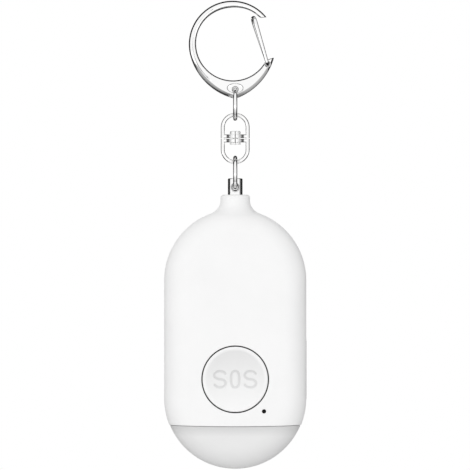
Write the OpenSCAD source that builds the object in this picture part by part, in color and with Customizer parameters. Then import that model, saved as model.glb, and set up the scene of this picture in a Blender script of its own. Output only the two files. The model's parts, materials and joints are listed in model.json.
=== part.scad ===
// Personal safety alarm that hangs from a snap hook.
// Millimetres. The origin is the centre of the hook's loop, +Z is up, and the button faces -Y.

/* [Snap hook] */
// Inner radius of the loop
loop_r = 10.4; // [9.4:0.1:12]
// Radial width of the rim round the loop
rim_w = 1.9; // [1.7:0.05:2.3]
// Shift of the rim's outer circle across the loop, which thickens the side away from the gate
rim_dx = -0.2; // [-0.4:0.05:0]
// Shift of the rim's outer circle down the loop, which thins the top
rim_dz = -0.25; // [-0.4:0.05:0]
// Thickness of the hook, front to back
hook_t = 2.8; // [2.4:0.1:3.2]
// Depth of the solid foot below the loop
foot_h = 5.2; // [4.8:0.1:6]
// Radius of the foot's two flanks
flank_r = 17.2; // [16.5:0.1:20]
// Height of the eye's centre above the foot's lowest point
eye_up = 2.65; // [2.3:0.05:2.8]
// Distance of the eye from the loop's centre, towards the gate
eye_dx = 0.6; // [0:0.1:1]
// Rounding of the hook's edges round the loop
hook_edge_r = 0.5; // [0.3:0.05:0.6]
// Rounding of the foot's outer edges
foot_edge_r = 1.2; // [0.8:0.1:1.3]

/* [Gate] */
// Diameter of the gate's spring wire
gate_wire = 0.9; // [0.7:0.05:0.95]
// Bearing of the gate's pivot from the loop's centre, below the horizontal
gate_pivot_deg = 31; // [29:0.5:36]
// Bearing of the gate's tip from the loop's centre, above the horizontal
gate_tip_deg = 54; // [50:0.5:60]
// Running clearance round the gate's wire in its hole
gate_play = 0.06; // [0.04:0.01:0.1]
// Gap between the gate and the faces that it lies against
gate_gap = 0.15; // [0.1:0.05:0.3]

/* [Chain] */
// Outer diameter of the two jump rings
ring_od = 9.6; // [9.2:0.1:11]
// Wire diameter of the jump rings
ring_wire = 1.2; // [1:0.05:1.3]
// Width of the cut where a jump ring is closed
ring_cut = 0.08; // [0.05:0.01:0.12]
// Gap between two links where they hang in each other
link_gap = 0.1; // [0.06:0.02:0.2]
// Outer width of the swivel's loops
swivel_w = 8.1; // [7.6:0.1:9]
// Height of the whole swivel
swivel_h = 14.4; // [13.6:0.1:16]
// Wire diameter of the swivel's loops
swivel_wire = 1.1; // [1:0.05:1.25]
// Gap between the swivel's two halves
swivel_gap = 0.15; // [0.1:0.05:0.3]
// Diameter of the boss in the middle of each swivel bar
boss_d = 3.4; // [3:0.1:3.8]
// Diameter of the swivel's rivet
rivet_d = 1.5; // [1.2:0.1:1.8]
// Diameter of the rivet's heads
rivet_head_d = 3; // [2.4:0.1:3.3]
// Height of the rivet's upper head
rivet_head_h = 0.9; // [0.6:0.1:1.2]
// Height of the rivet's lower head
rivet_foot_h = 0.5; // [0.4:0.1:0.8]
// Running clearance round the rivet
rivet_play = 0.06; // [0.04:0.01:0.1]

/* [Pull pin] */
// Diameter of the pin
pin_d = 4.2; // [4:0.1:4.6]
// Height of the pin's top above its cross hole
pin_head = 2.55; // [2.3:0.05:3]
// Length of pin that shows above the neck
pin_shown = 4.6; // [4.4:0.1:5.4]
// Length of pin inside the body
pin_depth = 12; // [11:0.2:12.4]
// Diameter of the pin's tip, which the contacts touch
pin_tip_d = 3; // [2.6:0.1:3.4]
// Length of the pin's tip
pin_tip_h = 3.6; // [3:0.1:4]
// Running clearance round the pin
pin_play = 0.06; // [0.04:0.01:0.1]

/* [Body] */
// Width of the body
body_w = 40; // [39:0.5:44]
// Height of the body without its neck
body_h = 73.2; // [73:0.2:80]
// Thickness of the body
body_t = 18; // [17:0.25:21]
// Rounding of the body's edges
edge_r = 6.5; // [5:0.25:7]
// Wall of the shells
wall = 1.6; // [1.4:0.1:1.8]
// Diameter of the neck
neck_d = 8.3; // [8.1:0.1:9.5]
// Height of the neck above the body
neck_h = 4.1; // [3.8:0.1:5]
// Rounding at the neck's top
neck_round = 0.8; // [0.5:0.1:0.9]
// Radius of the fillet where the neck meets the body
neck_fillet = 2.8; // [2.2:0.1:3]
// Height of the light lens
lens_h = 12.5; // [11.8:0.1:12.8]
// Step from the shells' surface in to the lens
lens_step = 0.15; // [0.05:0.05:0.3]
// Gap between the lens and the shells
lens_gap = 0.12; // [0.08:0.02:0.2]

/* [Button] */
// Diameter of the button's hole
button_hole_d = 19; // [17:0.25:19.5]
// Gap round the button
button_gap = 0.32; // [0.25:0.01:0.4]
// Height of the button's centre above the body's lowest point
button_up = 25.4; // [25:0.2:27]
// Width of the button's flat rim round its dish
button_rim = 1; // [0.8:0.1:1.6]
// Depth of the dish
dish_depth = 0.9; // [0.5:0.1:1]
// Height of the button's rim above the front face
button_proud = 0.15; // [0:0.05:0.4]
// Travel of the button
button_travel = 0.5; // [0.3:0.1:0.6]
// Diameter of the indicator's hole
indicator_d = 1.1; // [0.9:0.1:1.6]
// Distance from the edge of the button's hole to the indicator's centre
indicator_out = 2.6; // [2.2:0.1:3]

/* [Charging port] */
// Length of the port's cover, along the body
cover_l = 18; // [16:0.2:19]
// Width of the port's cover
cover_w = 5.6; // [5:0.1:6]
// Thickness of the port's cover
cover_t = 1; // [0.9:0.05:1.05]
// Height of the raised pad on the cover above the body's side
cover_pad = 0.2; // [0.1:0.05:0.3]
// Height of the cover's centre above the body's lowest point
port_up = 28.6; // [28:0.2:30]
// Gap round the cover in its pocket
cover_gap = 0.15; // [0.1:0.05:0.25]

/* [Inside] */
// Thickness of the circuit board
board_t = 1; // [0.8:0.1:1.2]
// Outer diameter of the sounder
sounder_d = 24; // [21:0.5:26]
// Depth of the sounder, front to back
sounder_h = 5.4; // [5:0.1:5.4]
// Thickness of the battery
battery_t = 4.4; // [3.6:0.1:4.6]
// Width of the battery
battery_w = 30; // [24:1:30]
// Gap between the battery and the sounder
battery_gap = 0.5; // [0.3:0.1:2]
// Diameter of the holes in the sound grille
grille_d = 1.5; // [1:0.1:1.8]
// Pitch of the holes in the sound grille
grille_pitch = 2.6; // [2.4:0.1:3]

/* [Hidden] */
$fn = 96;

// A little overlap where one cut runs past a face
eps = 0.01;
// Side of the boxes that halve a solid
far = 200;
// Clearance between pieces that are only set in place
seat = 0.05;

// Heights down the chain, from the hook's eye to the body's lowest point
ring_r = (ring_od - ring_wire) / 2;
foot_z = -(loop_r + foot_h);
eye_z = foot_z + eye_up;
link_pitch = (ring_wire + swivel_wire) / 2 + link_gap;
upper_ring_z = eye_z - ring_r;
swivel_top_z = eye_z - 2 * ring_r + link_pitch;
swivel_z = swivel_top_z + swivel_wire / 2 - swivel_h / 2;
swivel_low_z = swivel_z - swivel_h / 2 + swivel_wire / 2;
lower_ring_z = swivel_low_z + link_pitch - ring_r;
pin_eye_z = lower_ring_z - ring_r;
pin_top_z = pin_eye_z + pin_head;
neck_top_z = pin_top_z - pin_shown;
body_top_z = neck_top_z - neck_h;
upper_z = body_top_z - body_w / 2;
body_low_z = body_top_z - body_h;
lower_z = body_low_z + body_w / 2;
lens_z = body_low_z + lens_h;

// Faces of the shells, front and back
front_y = -body_t / 2;
front_in_y = front_y + wall;
rear_in_y = -front_in_y;

// Outline of the hook: a circle, and two flanks that touch it and meet at the foot
rim_c = [rim_dx, rim_dz];
rim_r = loop_r + rim_w;
foot = [eye_dx, foot_z];
rim_to_foot = norm(foot - rim_c);
flank_in = flank_r - rim_r;
flank_along = (flank_in ^ 2 - flank_r ^ 2 + rim_to_foot ^ 2) / (2 * rim_to_foot);
flank_across = sqrt(flank_in ^ 2 - flank_along ^ 2);
foot_dir = (foot - rim_c) / rim_to_foot;
foot_side = [-foot_dir.y, foot_dir.x];
left_flank_c = rim_c + flank_along * foot_dir + flank_across * foot_side;
right_flank_c = rim_c + flank_along * foot_dir - flank_across * foot_side;
left_touch = rim_c + rim_r * (rim_c - left_flank_c) / flank_in;
right_touch = rim_c + rim_r * (rim_c - right_flank_c) / flank_in;

// Bearings where the hook's two ends are cut, at the loop and at the outer edge
tip_in_deg = -gate_pivot_deg + 2;
tip_out_deg = tip_in_deg + 8.5;
nose_in_deg = gate_tip_deg - 8.5 - 360;
nose_out_deg = nose_in_deg - 6;
hook_steps = 52;
hook_cap = 0.3;
corner_steps = 2;

// Gate: pivot, tip, length and bearing, in the plane of the hook
gate_pivot_r = loop_r + rim_w / 2;
gate_pivot = gate_pivot_r * [cos(gate_pivot_deg), -sin(gate_pivot_deg)];
gate_tip = (loop_r - gate_gap - gate_wire / 2) * [cos(gate_tip_deg), sin(gate_tip_deg)];
gate_l = norm(gate_tip - gate_pivot);
gate_bearing = atan2(gate_tip.y - gate_pivot.y, gate_tip.x - gate_pivot.x);
gate_half_w = hook_t / 2 + gate_gap + gate_wire / 2;
gate_bend_r = 0.75;
gate_end_y = 0.4;

// Cross holes that a jump ring runs through: a throat that flares as the ring curves
hole_play = 0.12;
throat_r = ring_wire / 2 + hole_play;

// Swivel: the loops' arcs and bars
swivel_r = (swivel_w - swivel_wire) / 2;
bar_z = swivel_gap / 2 + swivel_wire / 2;
bar_d = swivel_wire - 0.1;

// Neck and the bush inside it
neck_lip_h = 1;
lip_play = 0.2;
bush_wall = 0.9;
bush_d = pin_d + 2 * (pin_play + bush_wall);
bush_h = 7.2;
bush_flange_d = bush_d + 1.4;
bush_flange_h = 1;
bush_top_z = neck_top_z - neck_lip_h - seat;
bush_low_z = bush_top_z - bush_h;
collar_r = bush_flange_d / 2 + 1;
collar_low_z = bush_low_z - 1;
pin_low_z = neck_top_z - pin_depth;

// Sounder, below the pin's tip
gasket_t = 0.4;
sounder_wall = 1.2;
sounder_drop = 1.9;
sounder_z = pin_low_z - sounder_drop - sounder_d / 2;
sounder_rear_y = rear_in_y - gasket_t;
sounder_front_y = sounder_rear_y - sounder_h;

// Circuit board: it stands on the front bosses, and the charging socket sits behind it
socket_h = 3.2;
socket_w = 8.94;
socket_l = 7.35;
board_rear_y = -socket_h / 2;
board_front_y = board_rear_y - board_t;
board_half_w = body_w / 2 - wall - 1.9;
notch_z = pin_low_z - 2.4;
notch_r = 3.4;

// Screw bosses, which stand round the sounder on two bearings from its centre
boss_r = 2.3;
rear_boss_r = boss_r + 0.4;
shoulder_r = boss_r + 0.8;
boss_clear = 0.25;
boss_reach = sounder_d / 2 + boss_clear + rear_boss_r;
boss_play = 0.1;
upper_boss_deg = 60;
middle_boss_deg = -30;
screw_r = 0.85;
screw_play = 0.15;
screw_head_r = 1.7;
screw_head_h = 1.2;
screw_seat_y = 3;
screw_reach_y = -4.6;
BOSSES = [
    for (side = [-1, 1], deg = [upper_boss_deg, middle_boss_deg])
        [side * boss_reach * cos(deg), sounder_z + boss_reach * sin(deg)]
];
board_ear = 2;
board_top_z = sounder_z + boss_reach * sin(upper_boss_deg) + board_ear;

// The lens has a lip inside the shells, with a bead that snaps into a groove in them
lip_h = 2;
lip_wall = 1;
bead = 0.35;
bead_low = 0.9;
bead_h = 0.6;

// Button: cap, flange and plunger, and the switch below it
button_z = body_low_z + button_up;
button_r = button_hole_d / 2 - button_gap;
flange_r = button_hole_d / 2 + 0.8;
flange_t = 0.8;
flange_front_y = front_in_y + 0.15;
flange_rear_y = flange_front_y + flange_t;
well_r = flange_r + 0.3;
well_wall = 0.6;
well_rear_y = flange_rear_y + button_travel;
plunger_r = 2;
plunger_l = 0.65;
switch_w = 6;
switch_floor = 0.3;
stem_r = 1.55;
stem_play = 0.08;
stem_shown = 0.5;
stem_front_y = flange_rear_y + plunger_l;
switch_front_y = stem_front_y + button_travel + stem_shown;
stem_rear_y = board_front_y - switch_floor - button_travel - 0.1;

// Indicator, below and to the right of the button
indicator_deg = -48;
indicator_x = (button_hole_d / 2 + indicator_out) * cos(indicator_deg);
indicator_z = button_z + (button_hole_d / 2 + indicator_out) * sin(indicator_deg);
indicator_led_t = 0.7;
indicator_led_w = 1.6;
indicator_foot = 0.3;

// Lower end of the circuit board, and the battery behind it
board_margin = 0.1;
board_low_z = min(lens_z + lip_h + 1, indicator_z - indicator_led_w / 2 - board_margin);
pad_t = 0.5;
battery_rear_y = rear_in_y - pad_t;
battery_low_z = max(lens_z + lip_h, board_low_z) + 0.4;
battery_top_z = sounder_z - sounder_d / 2 - battery_gap;

// Charging port, on the right side
port_x = body_w / 2;
port_z = body_low_z + port_up;
pocket_depth = cover_t + cover_gap;
cover_out_x = port_x;
cover_top_z = port_z + cover_l / 2;
cover_low_z = port_z - cover_l / 2;
cover_pin_r = 0.25;
cover_pin_l = 0.8;
cover_pad_top = 1.2;
cover_pin_play = 0.06;
cover_axis_x = cover_out_x - cover_t / 2;
cover_axis_z = cover_top_z - cover_t / 2;
cover_corner_r = 1.4;
mouth_gap = 0.35;
plug_w = socket_w - 0.3;
plug_h = socket_h - 0.4;
plug_l = 1.1;
socket_mouth_x = cover_out_x - cover_t - plug_l - 0.15;

// Light board, across the bottom of the circuit board
led_board_t = 0.8;
led_board_w = 24;
led_board_d = 6;
led_w = 3.5;
led_d = 2.8;
led_t = 1.6;
LED_X = [-7.5, 0, 7.5];

// Everything on the chain and the body hangs under the eye
module on_axis() {
    translate([eye_dx, 0, 0]) children();
}

// A cylinder that runs front to back, from one depth to another
module along_y(from_y, to_y, r, r_end = undef) {
    translate([0, from_y, 0])
        rotate([-90, 0, 0])
            cylinder(h = to_y - from_y, r1 = r, r2 = is_undef(r_end) ? r : r_end);
}

// A box between two corners
module span(low, high) {
    translate(low) cube(high - low);
}

// Distance from the loop's centre to a circle's edge, along a bearing
function reach(centre, radius, deg) =
    let (along = centre * [cos(deg), sin(deg)])
    along + sqrt(along ^ 2 - centre * centre + radius ^ 2);

// Is a bearing below the places where the flanks leave the rim
function in_foot(deg) =
    let (turn = deg + 360 * ceil(-deg / 360))
    turn > atan2(left_touch.y, left_touch.x) + 360 && turn < atan2(right_touch.y, right_touch.x) + 360;

// Outer radius of the hook along a bearing
function hook_outer(deg) =
    in_foot(deg)
        ? min(reach(left_flank_c, flank_r, deg), reach(right_flank_c, flank_r, deg))
        : reach(rim_c, rim_r, deg);

// Rounding of the hook's outer edge, which swells in the middle of the foot
function outer_round(deg) = hook_edge_r + (foot_edge_r - hook_edge_r) * max(0, -sin(deg)) ^ 3;

// Points of one rounded corner, as across and depth
function corner(across, depth, r, from_deg) = [
    for (i = [0:corner_steps])
        let (deg = from_deg + 90 * i / corner_steps)
        [across + r * cos(deg), depth + r * sin(deg)]
];

// Cross-section of the hook, as distance out from the loop and depth
function hook_section(width, inner_r, outer_r) = concat(
    corner(inner_r, inner_r - hook_t / 2, inner_r, 180),
    corner(width - outer_r, outer_r - hook_t / 2, outer_r, 270),
    corner(width - outer_r, hook_t / 2 - outer_r, outer_r, 0),
    corner(inner_r, hook_t / 2 - inner_r, inner_r, 90)
);

// One ring of points round the hook's bar, between a bearing at the loop and one at the outer edge
function hook_ring(in_deg, out_deg) =
    let (width = hook_outer(out_deg) - loop_r)
    [
        for (p = hook_section(width, hook_edge_r, outer_round(out_deg)))
            let (deg = in_deg + (out_deg - in_deg) * p.x / width)
            [(loop_r + p.x) * cos(deg), p.y, (loop_r + p.x) * sin(deg)]
    ];

function middle(points) = [for (i = [0:2]) [for (p = points) p[i]] * [for (p = points) 1] / len(points)];

// A ring drawn in by the edge rounding and moved along the bar, which rounds off an end
function drawn_in(points, step) =
    let (c = middle(points))
    [for (p = points) c + step + (p - c) * 0.72];

// Triangles that join rings of equal length into one closed tube
function tube_faces(rings, sides) = concat(
    [for (k = [1:sides - 2]) [0, k, k + 1]],
    [
        for (i = [0:rings - 2], k = [0:sides - 1], half = [0, 1])
            let (a = i * sides + k, b = i * sides + (k + 1) % sides)
            half == 0 ? [a, a + sides, b] : [b, a + sides, b + sides]
    ],
    [for (k = [1:sides - 2]) (rings - 1) * sides * [1, 1, 1] + [0, k + 1, k]]
);

module hook_bar() {
    body = [
        for (i = [0:hook_steps])
            let (u = i / hook_steps)
            hook_ring(
                tip_in_deg + u * (nose_in_deg - tip_in_deg),
                tip_out_deg + u * (nose_out_deg - tip_out_deg)
            )
    ];
    tip = middle(body[0]);
    nose = middle(body[hook_steps]);
    tip_step = tip - middle(body[1]);
    nose_step = nose - middle(body[hook_steps - 1]);
    rings = concat(
        [drawn_in(body[0], hook_cap * tip_step / norm(tip_step))],
        body,
        [drawn_in(body[hook_steps], hook_cap * nose_step / norm(nose_step))]
    );
    polyhedron([for (r = rings) each r], tube_faces(len(rings), len(rings[0])));
}

// A hole front to back whose throat flares at both mouths, for a jump ring that curves through it
module flared_hole(depth) {
    rise = sqrt(ring_r ^ 2 - (depth / 2) ^ 2);
    mouth_r = ring_r - rise + ring_wire / 2 * ring_r / rise + hole_play;
    along_y(-depth / 2 - eps, eps, mouth_r, throat_r);
    along_y(-eps, depth / 2 + eps, throat_r, mouth_r);
}

module snap_hook() {
    color("silver") difference() {
        hook_bar();
        translate([eye_dx, 0, eye_z]) flared_hole(hook_t);
        translate([gate_pivot.x, 0, gate_pivot.y]) along_y(-hook_t, hook_t, gate_wire / 2 + gate_play);
    }
}

// One leg of the gate, its bend and the end that turns in the hook
module gate_leg() {
    straight = gate_l - gate_bend_r - gate_half_w;
    translate([gate_bend_r, gate_half_w, 0]) rotate([0, 90, 0]) cylinder(d = gate_wire, h = straight);
    translate([gate_bend_r, gate_half_w - gate_bend_r, 0])
        rotate([0, 0, 90])
            rotate_extrude(angle = 90) translate([gate_bend_r, 0]) circle(d = gate_wire);
    along_y(gate_end_y, gate_half_w - gate_bend_r, gate_wire / 2);
}

module hook_gate() {
    color("silver")
        translate([gate_pivot.x, 0, gate_pivot.y])
            rotate([0, -gate_bearing, 0]) {
                gate_leg();
                mirror([0, 1, 0]) gate_leg();
                translate([gate_l - gate_half_w, 0, 0])
                    rotate([0, 0, -90])
                        rotate_extrude(angle = 180) translate([gate_half_w, 0]) circle(d = gate_wire);
            }
}

// A round jump ring that stands front to back, closed at a fine cut on one side
module jump_ring(z, cut_deg) {
    on_axis() translate([0, 0, z]) difference() {
        rotate([0, 90, 0]) rotate_extrude() translate([ring_r, 0]) circle(d = ring_wire);
        rotate([cut_deg, 0, 0])
            span([-ring_wire, 0, -ring_cut / 2], [ring_wire, ring_od, ring_cut / 2]);
    }
}

module upper_ring() {
    color("silver") jump_ring(upper_ring_z, 12);
}

module lower_ring() {
    color("silver") jump_ring(lower_ring_z, -14);
}

// Half of the swivel: an arch of wire on a bar with a drilled boss
module swivel_half() {
    arch_z = swivel_h / 2 - swivel_wire / 2 - swivel_r;
    difference() {
        union() {
            translate([0, 0, arch_z])
                rotate([90, 0, 0])
                    rotate_extrude(angle = 180) translate([swivel_r, 0]) circle(d = swivel_wire);
            for (side = [-1, 1])
                translate([side * swivel_r, 0, swivel_gap / 2])
                    cylinder(d = swivel_wire, h = arch_z - swivel_gap / 2);
            translate([-swivel_r, 0, bar_z]) rotate([0, 90, 0]) cylinder(d = bar_d, h = 2 * swivel_r);
            translate([0, 0, swivel_gap / 2]) cylinder(d = boss_d, h = swivel_wire);
        }
        translate([0, 0, -eps]) cylinder(r = rivet_d / 2 + rivet_play, h = bar_z + swivel_wire);
    }
}

module swivel_upper_loop() {
    color("silver") on_axis() translate([0, 0, swivel_z]) swivel_half();
}

module swivel_lower_loop() {
    color("silver") on_axis() translate([0, 0, swivel_z]) mirror([0, 0, 1]) swivel_half();
}

// The rivet's head rests on the upper bar, and its foot hangs just clear of the lower one
module swivel_rivet() {
    top = swivel_gap / 2 + swivel_wire;
    low = -top - rivet_play;
    dome = 0.3;
    color("silver") on_axis() translate([0, 0, swivel_z]) {
        translate([0, 0, low]) cylinder(d = rivet_d, h = top - low);
        translate([0, 0, top]) cylinder(d = rivet_head_d, h = rivet_head_h - dome);
        translate([0, 0, top + rivet_head_h - dome])
            cylinder(d1 = rivet_head_d, d2 = rivet_head_d - 2 * dome, h = dome);
        translate([0, 0, low - rivet_foot_h]) cylinder(d = rivet_head_d, h = rivet_foot_h);
    }
}

module pull_pin() {
    bevel = 0.25;
    color("silver") on_axis() difference() {
        union() {
            translate([0, 0, pin_low_z + pin_tip_h])
                cylinder(d = pin_d, h = pin_top_z - bevel - pin_low_z - pin_tip_h);
            translate([0, 0, pin_top_z - bevel]) cylinder(d1 = pin_d, d2 = pin_d - 2 * bevel, h = bevel);
            translate([0, 0, pin_low_z + bevel]) cylinder(d = pin_tip_d, h = pin_tip_h - bevel + eps);
            translate([0, 0, pin_low_z]) cylinder(d1 = pin_tip_d - 2 * bevel, d2 = pin_tip_d, h = bevel);
        }
        translate([0, 0, pin_eye_z]) flared_hole(pin_d);
    }
}

// Half of the body's cross-section, from the middle out to the side
module half_section(half_w, t, r) {
    translate([0, -t / 2]) square([half_w - r, t]);
    translate([0, r - t / 2]) square([half_w, t - 2 * r]);
    for (side = [-1, 1]) translate([half_w - r, side * (t / 2 - r)]) circle(r);
}

module half_disc(half_w, t, r) {
    rotate([90, 0, 0]) rotate_extrude(angle = 180) half_section(half_w, t, r);
}

// The body's pebble shape, drawn in from its surface by an inset
module pebble(inset) {
    half_w = body_w / 2 - inset;
    t = body_t - 2 * inset;
    r = edge_r - inset;
    translate([0, 0, upper_z]) half_disc(half_w, t, r);
    translate([0, 0, lower_z]) mirror([0, 0, 1]) half_disc(half_w, t, r);
    translate([0, 0, lower_z]) linear_extrude(upper_z - lower_z) {
        half_section(half_w, t, r);
        mirror([1, 0]) half_section(half_w, t, r);
    }
}

// Outside of the neck, turned about the pin, with its rounded top and its fillet on to the body
module neck_form() {
    r = neck_d / 2;
    fillet_r = r + neck_fillet;
    fillet_z = upper_z + sqrt((body_w / 2 + neck_fillet) ^ 2 - fillet_r ^ 2);
    flat = body_t / 2 - edge_r;
    side_touch = fillet_r * body_w / 2 / (body_w / 2 + neck_fillet);
    face_touch = flat + (fillet_r - flat) * edge_r / (edge_r + neck_fillet);
    skirt_r = (side_touch + face_touch) / 2;
    low = body_top_z - wall - 0.5;
    rotate_extrude() {
        translate([0, low]) square([r, neck_top_z - neck_round - low]);
        translate([0, neck_top_z - neck_round - eps]) square([r - neck_round, neck_round + eps]);
        intersection() {
            translate([r - neck_round, neck_top_z - neck_round]) circle(neck_round);
            translate([0, low]) square([r, neck_top_z - low]);
        }
        difference() {
            translate([0, low]) square([skirt_r, fillet_z - low]);
            translate([fillet_r, fillet_z]) circle(neck_fillet);
        }
    }
}

// The pocket and mouth of the charging port, through both shells
module port_cuts() {
    translate([port_x - pocket_depth, 0, port_z])
        rotate([0, 90, 0])
            linear_extrude(2 * pocket_depth) cover_outline(cover_gap);
    translate([port_x - 3 * wall, 0, port_z])
        rotate([0, 90, 0])
            linear_extrude(4 * wall) slot_outline(socket_w + 2 * mouth_gap, socket_h + 2 * mouth_gap);
    translate([cover_axis_x, 0, cover_axis_z])
        along_y(
            -cover_w / 2 - cover_pin_l - cover_pin_play,
            cover_w / 2 + cover_pin_l + cover_pin_play,
            cover_pin_r + cover_pin_play
        );
}

// A slot with round ends, long across the first axis
module slot_outline(long, wide) {
    square([long - wide, wide], center = true);
    for (side = [-1, 1]) translate([side * (long - wide) / 2, 0]) circle(d = wide);
}

// Outline of the cover, square at its hinge and rounded at its free end
module cover_outline(grow) {
    half_l = cover_l / 2 + grow;
    half_w = cover_w / 2 + grow;
    r = cover_corner_r;
    translate([-half_l, -half_w]) square([2 * half_l - r, 2 * half_w]);
    translate([-half_l, -half_w + r]) square([2 * half_l, 2 * half_w - 2 * r]);
    for (side = [-1, 1]) translate([half_l - r, side * (half_w - r)]) circle(r);
}

// The part of the body's wall that both shells share, with the neck and the collar round the bush
module hollow_body() {
    difference() {
        union() {
            pebble(0);
            neck_form();
        }
        pebble(wall);
    }
    translate([0, 0, collar_low_z]) cylinder(r = collar_r, h = body_top_z - wall - collar_low_z);
}

// Bores for the pin and the seat for its bush
module neck_cuts() {
    translate([0, 0, collar_low_z - eps]) cylinder(r = pin_d / 2 + lip_play, h = neck_top_z - collar_low_z + 1);
    translate([0, 0, bush_low_z - seat]) cylinder(r = bush_d / 2 + seat, h = bush_h + 2 * seat);
    translate([0, 0, bush_low_z - seat])
        cylinder(r = bush_flange_d / 2 + seat, h = bush_flange_h + 2 * seat);
}

// The groove in the shells that the lens's bead snaps into
module lens_groove() {
    intersection() {
        pebble(wall - bead - lens_gap);
        span(
            [-far, -far, lens_z + bead_low - lens_gap],
            [far, far, lens_z + bead_low + bead_h + lens_gap]
        );
    }
}

// A shell is one half of the hollow body above the lens
module shell_half(side) {
    intersection() {
        hollow_body();
        span([-far, side < 0 ? -far : 0, lens_z], [far, side < 0 ? 0 : far, far]);
    }
}

module front_shell() {
    color("white") on_axis() difference() {
        union() {
            shell_half(-1);
            intersection() {
                for (at = BOSSES) translate([at.x, 0, at.y]) {
                    along_y(front_in_y - wall / 4, board_front_y, shoulder_r);
                    along_y(front_in_y - wall / 4, 0, boss_r);
                }
                pebble(wall / 2);
            }
            difference() {
                translate([0, 0, button_z]) along_y(front_in_y - wall / 4, well_rear_y, well_r + well_wall);
                translate([0, 0, button_z]) along_y(front_in_y, well_rear_y + 1, well_r);
                span([-far, front_in_y, -far], [far, far, lens_z + lip_h + 0.5]);
                span([-far, -far, -far], [far, far, lens_z]);
            }
        }
        translate([0, 0, button_z]) along_y(front_y - 1, front_in_y + eps, button_hole_d / 2);
        translate([indicator_x, 0, indicator_z]) along_y(front_y - 1, front_in_y + 1, indicator_d / 2 + seat);
        for (at = BOSSES) translate([at.x, 0, at.y]) along_y(screw_reach_y - 0.6, 1, screw_r);
        port_cuts();
        neck_cuts();
        lens_groove();
    }
}

// Places of the sound holes: one in the middle and rings of six and twelve
GRILLE = [
    for (ring = [0:2], i = [0:max(6 * ring, 1) - 1])
        let (deg = ring == 0 ? 0 : 60 * i / ring)
        ring * grille_pitch * [cos(deg), sin(deg)]
];

module rear_shell() {
    color("white") on_axis() difference() {
        union() {
            shell_half(1);
            intersection() {
                for (at = BOSSES) translate([at.x, 0, at.y]) along_y(0, rear_in_y + wall / 4, rear_boss_r);
                pebble(wall / 2);
            }
        }
        for (at = BOSSES) translate([at.x, 0, at.y]) {
            along_y(-1, screw_seat_y + eps, screw_r + screw_play);
            along_y(screw_seat_y, body_t, screw_head_r + screw_play);
        }
        for (at = GRILLE) translate([at.x, 0, sounder_z + at.y]) along_y(rear_in_y - 1, body_t, grille_d / 2);
        port_cuts();
        neck_cuts();
        lens_groove();
    }
}

// Room that the lens's lip leaves for the button and the indicator, from a given depth inwards
module button_room(from_y) {
    translate([0, 0, button_z]) along_y(from_y, 0, well_r);
    translate([indicator_x, 0, indicator_z])
        along_y(from_y, 0, indicator_d / 2 + indicator_foot + board_margin);
}

module light_lens() {
    low = lens_z - 1.5;
    color("gainsboro") on_axis() {
        difference() {
            intersection() {
                union() {
                    intersection() {
                        pebble(lens_step);
                        span([-far, -far, -far], [far, far, lens_z - lens_gap]);
                    }
                    intersection() {
                        pebble(wall + lens_gap);
                        span([-far, -far, low], [far, far, lens_z + lip_h]);
                    }
                    intersection() {
                        pebble(wall - bead);
                        span([-far, -far, lens_z + bead_low], [far, far, lens_z + bead_low + bead_h]);
                    }
                }
                span([-far, -far, -far], [far, far, lens_z + lip_h]);
            }
            pebble(wall + lens_gap + lip_wall);
            button_room(front_in_y);
            intersection() {
                button_room(front_y);
                span([-far, -far, lens_z], [far, far, lens_z + lip_h + 1]);
            }
        }
    }
}

module sos_button() {
    rim_y = front_y - button_proud;
    dish_r = ((button_r - button_rim) ^ 2 + dish_depth ^ 2) / (2 * dish_depth);
    color("white") on_axis() translate([0, 0, button_z]) difference() {
        union() {
            along_y(rim_y + 0.3, flange_rear_y, button_r);
            along_y(rim_y, rim_y + 0.3, button_r - 0.3, button_r);
            along_y(flange_front_y, flange_rear_y, flange_r);
            along_y(flange_rear_y, stem_front_y, plunger_r);
        }
        translate([0, rim_y + dish_depth - dish_r, 0]) rotate([90, 0, 0]) sphere(dish_r, $fn = 180);
    }
}

module indicator_lens() {
    color("black") on_axis() translate([indicator_x, 0, indicator_z]) {
        along_y(front_y + 0.1, board_front_y - indicator_led_t, indicator_d / 2);
        along_y(well_rear_y + 0.3, board_front_y - indicator_led_t, indicator_d / 2 + indicator_foot);
    }
}

module port_cover() {
    color("lightgray") on_axis() {
        intersection() {
            translate([cover_out_x - cover_t, 0, port_z])
                rotate([0, 90, 0])
                    linear_extrude(cover_t) cover_outline(0);
            union() {
                span([0, -cover_w, cover_low_z - 1], [2 * port_x, cover_w, cover_axis_z]);
                translate([cover_axis_x, 0, cover_axis_z]) along_y(-cover_w, cover_w, cover_t / 2);
            }
        }
        intersection() {
            translate([cover_out_x - cover_t / 2, 0, port_z])
                rotate([0, 90, 0])
                    linear_extrude(cover_t / 2 + cover_pad) cover_outline(0);
            span([0, -cover_w, cover_low_z - 1], [2 * port_x, cover_w, cover_top_z - cover_pad_top]);
        }
        translate([cover_axis_x, 0, cover_axis_z])
            along_y(-cover_w / 2 - cover_pin_l, cover_w / 2 + cover_pin_l, cover_pin_r);
        translate([cover_out_x - cover_t - plug_l, 0, port_z])
            rotate([0, 90, 0])
                linear_extrude(plug_l + eps) slot_outline(plug_w, plug_h);
    }
}

module shell_screws() {
    color("gray") on_axis() for (at = BOSSES) translate([at.x, 0, at.y]) difference() {
        union() {
            along_y(screw_reach_y, screw_seat_y + eps, screw_r - 0.01);
            along_y(screw_seat_y, screw_seat_y + screw_head_h, screw_head_r);
        }
        for (turn = [0, 90])
            translate([0, screw_seat_y + screw_head_h, 0])
                rotate([0, turn, 0])
                    span([-screw_head_r * 0.6, -0.6, -0.22], [screw_head_r * 0.6, 1, 0.22]);
    }
}

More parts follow.
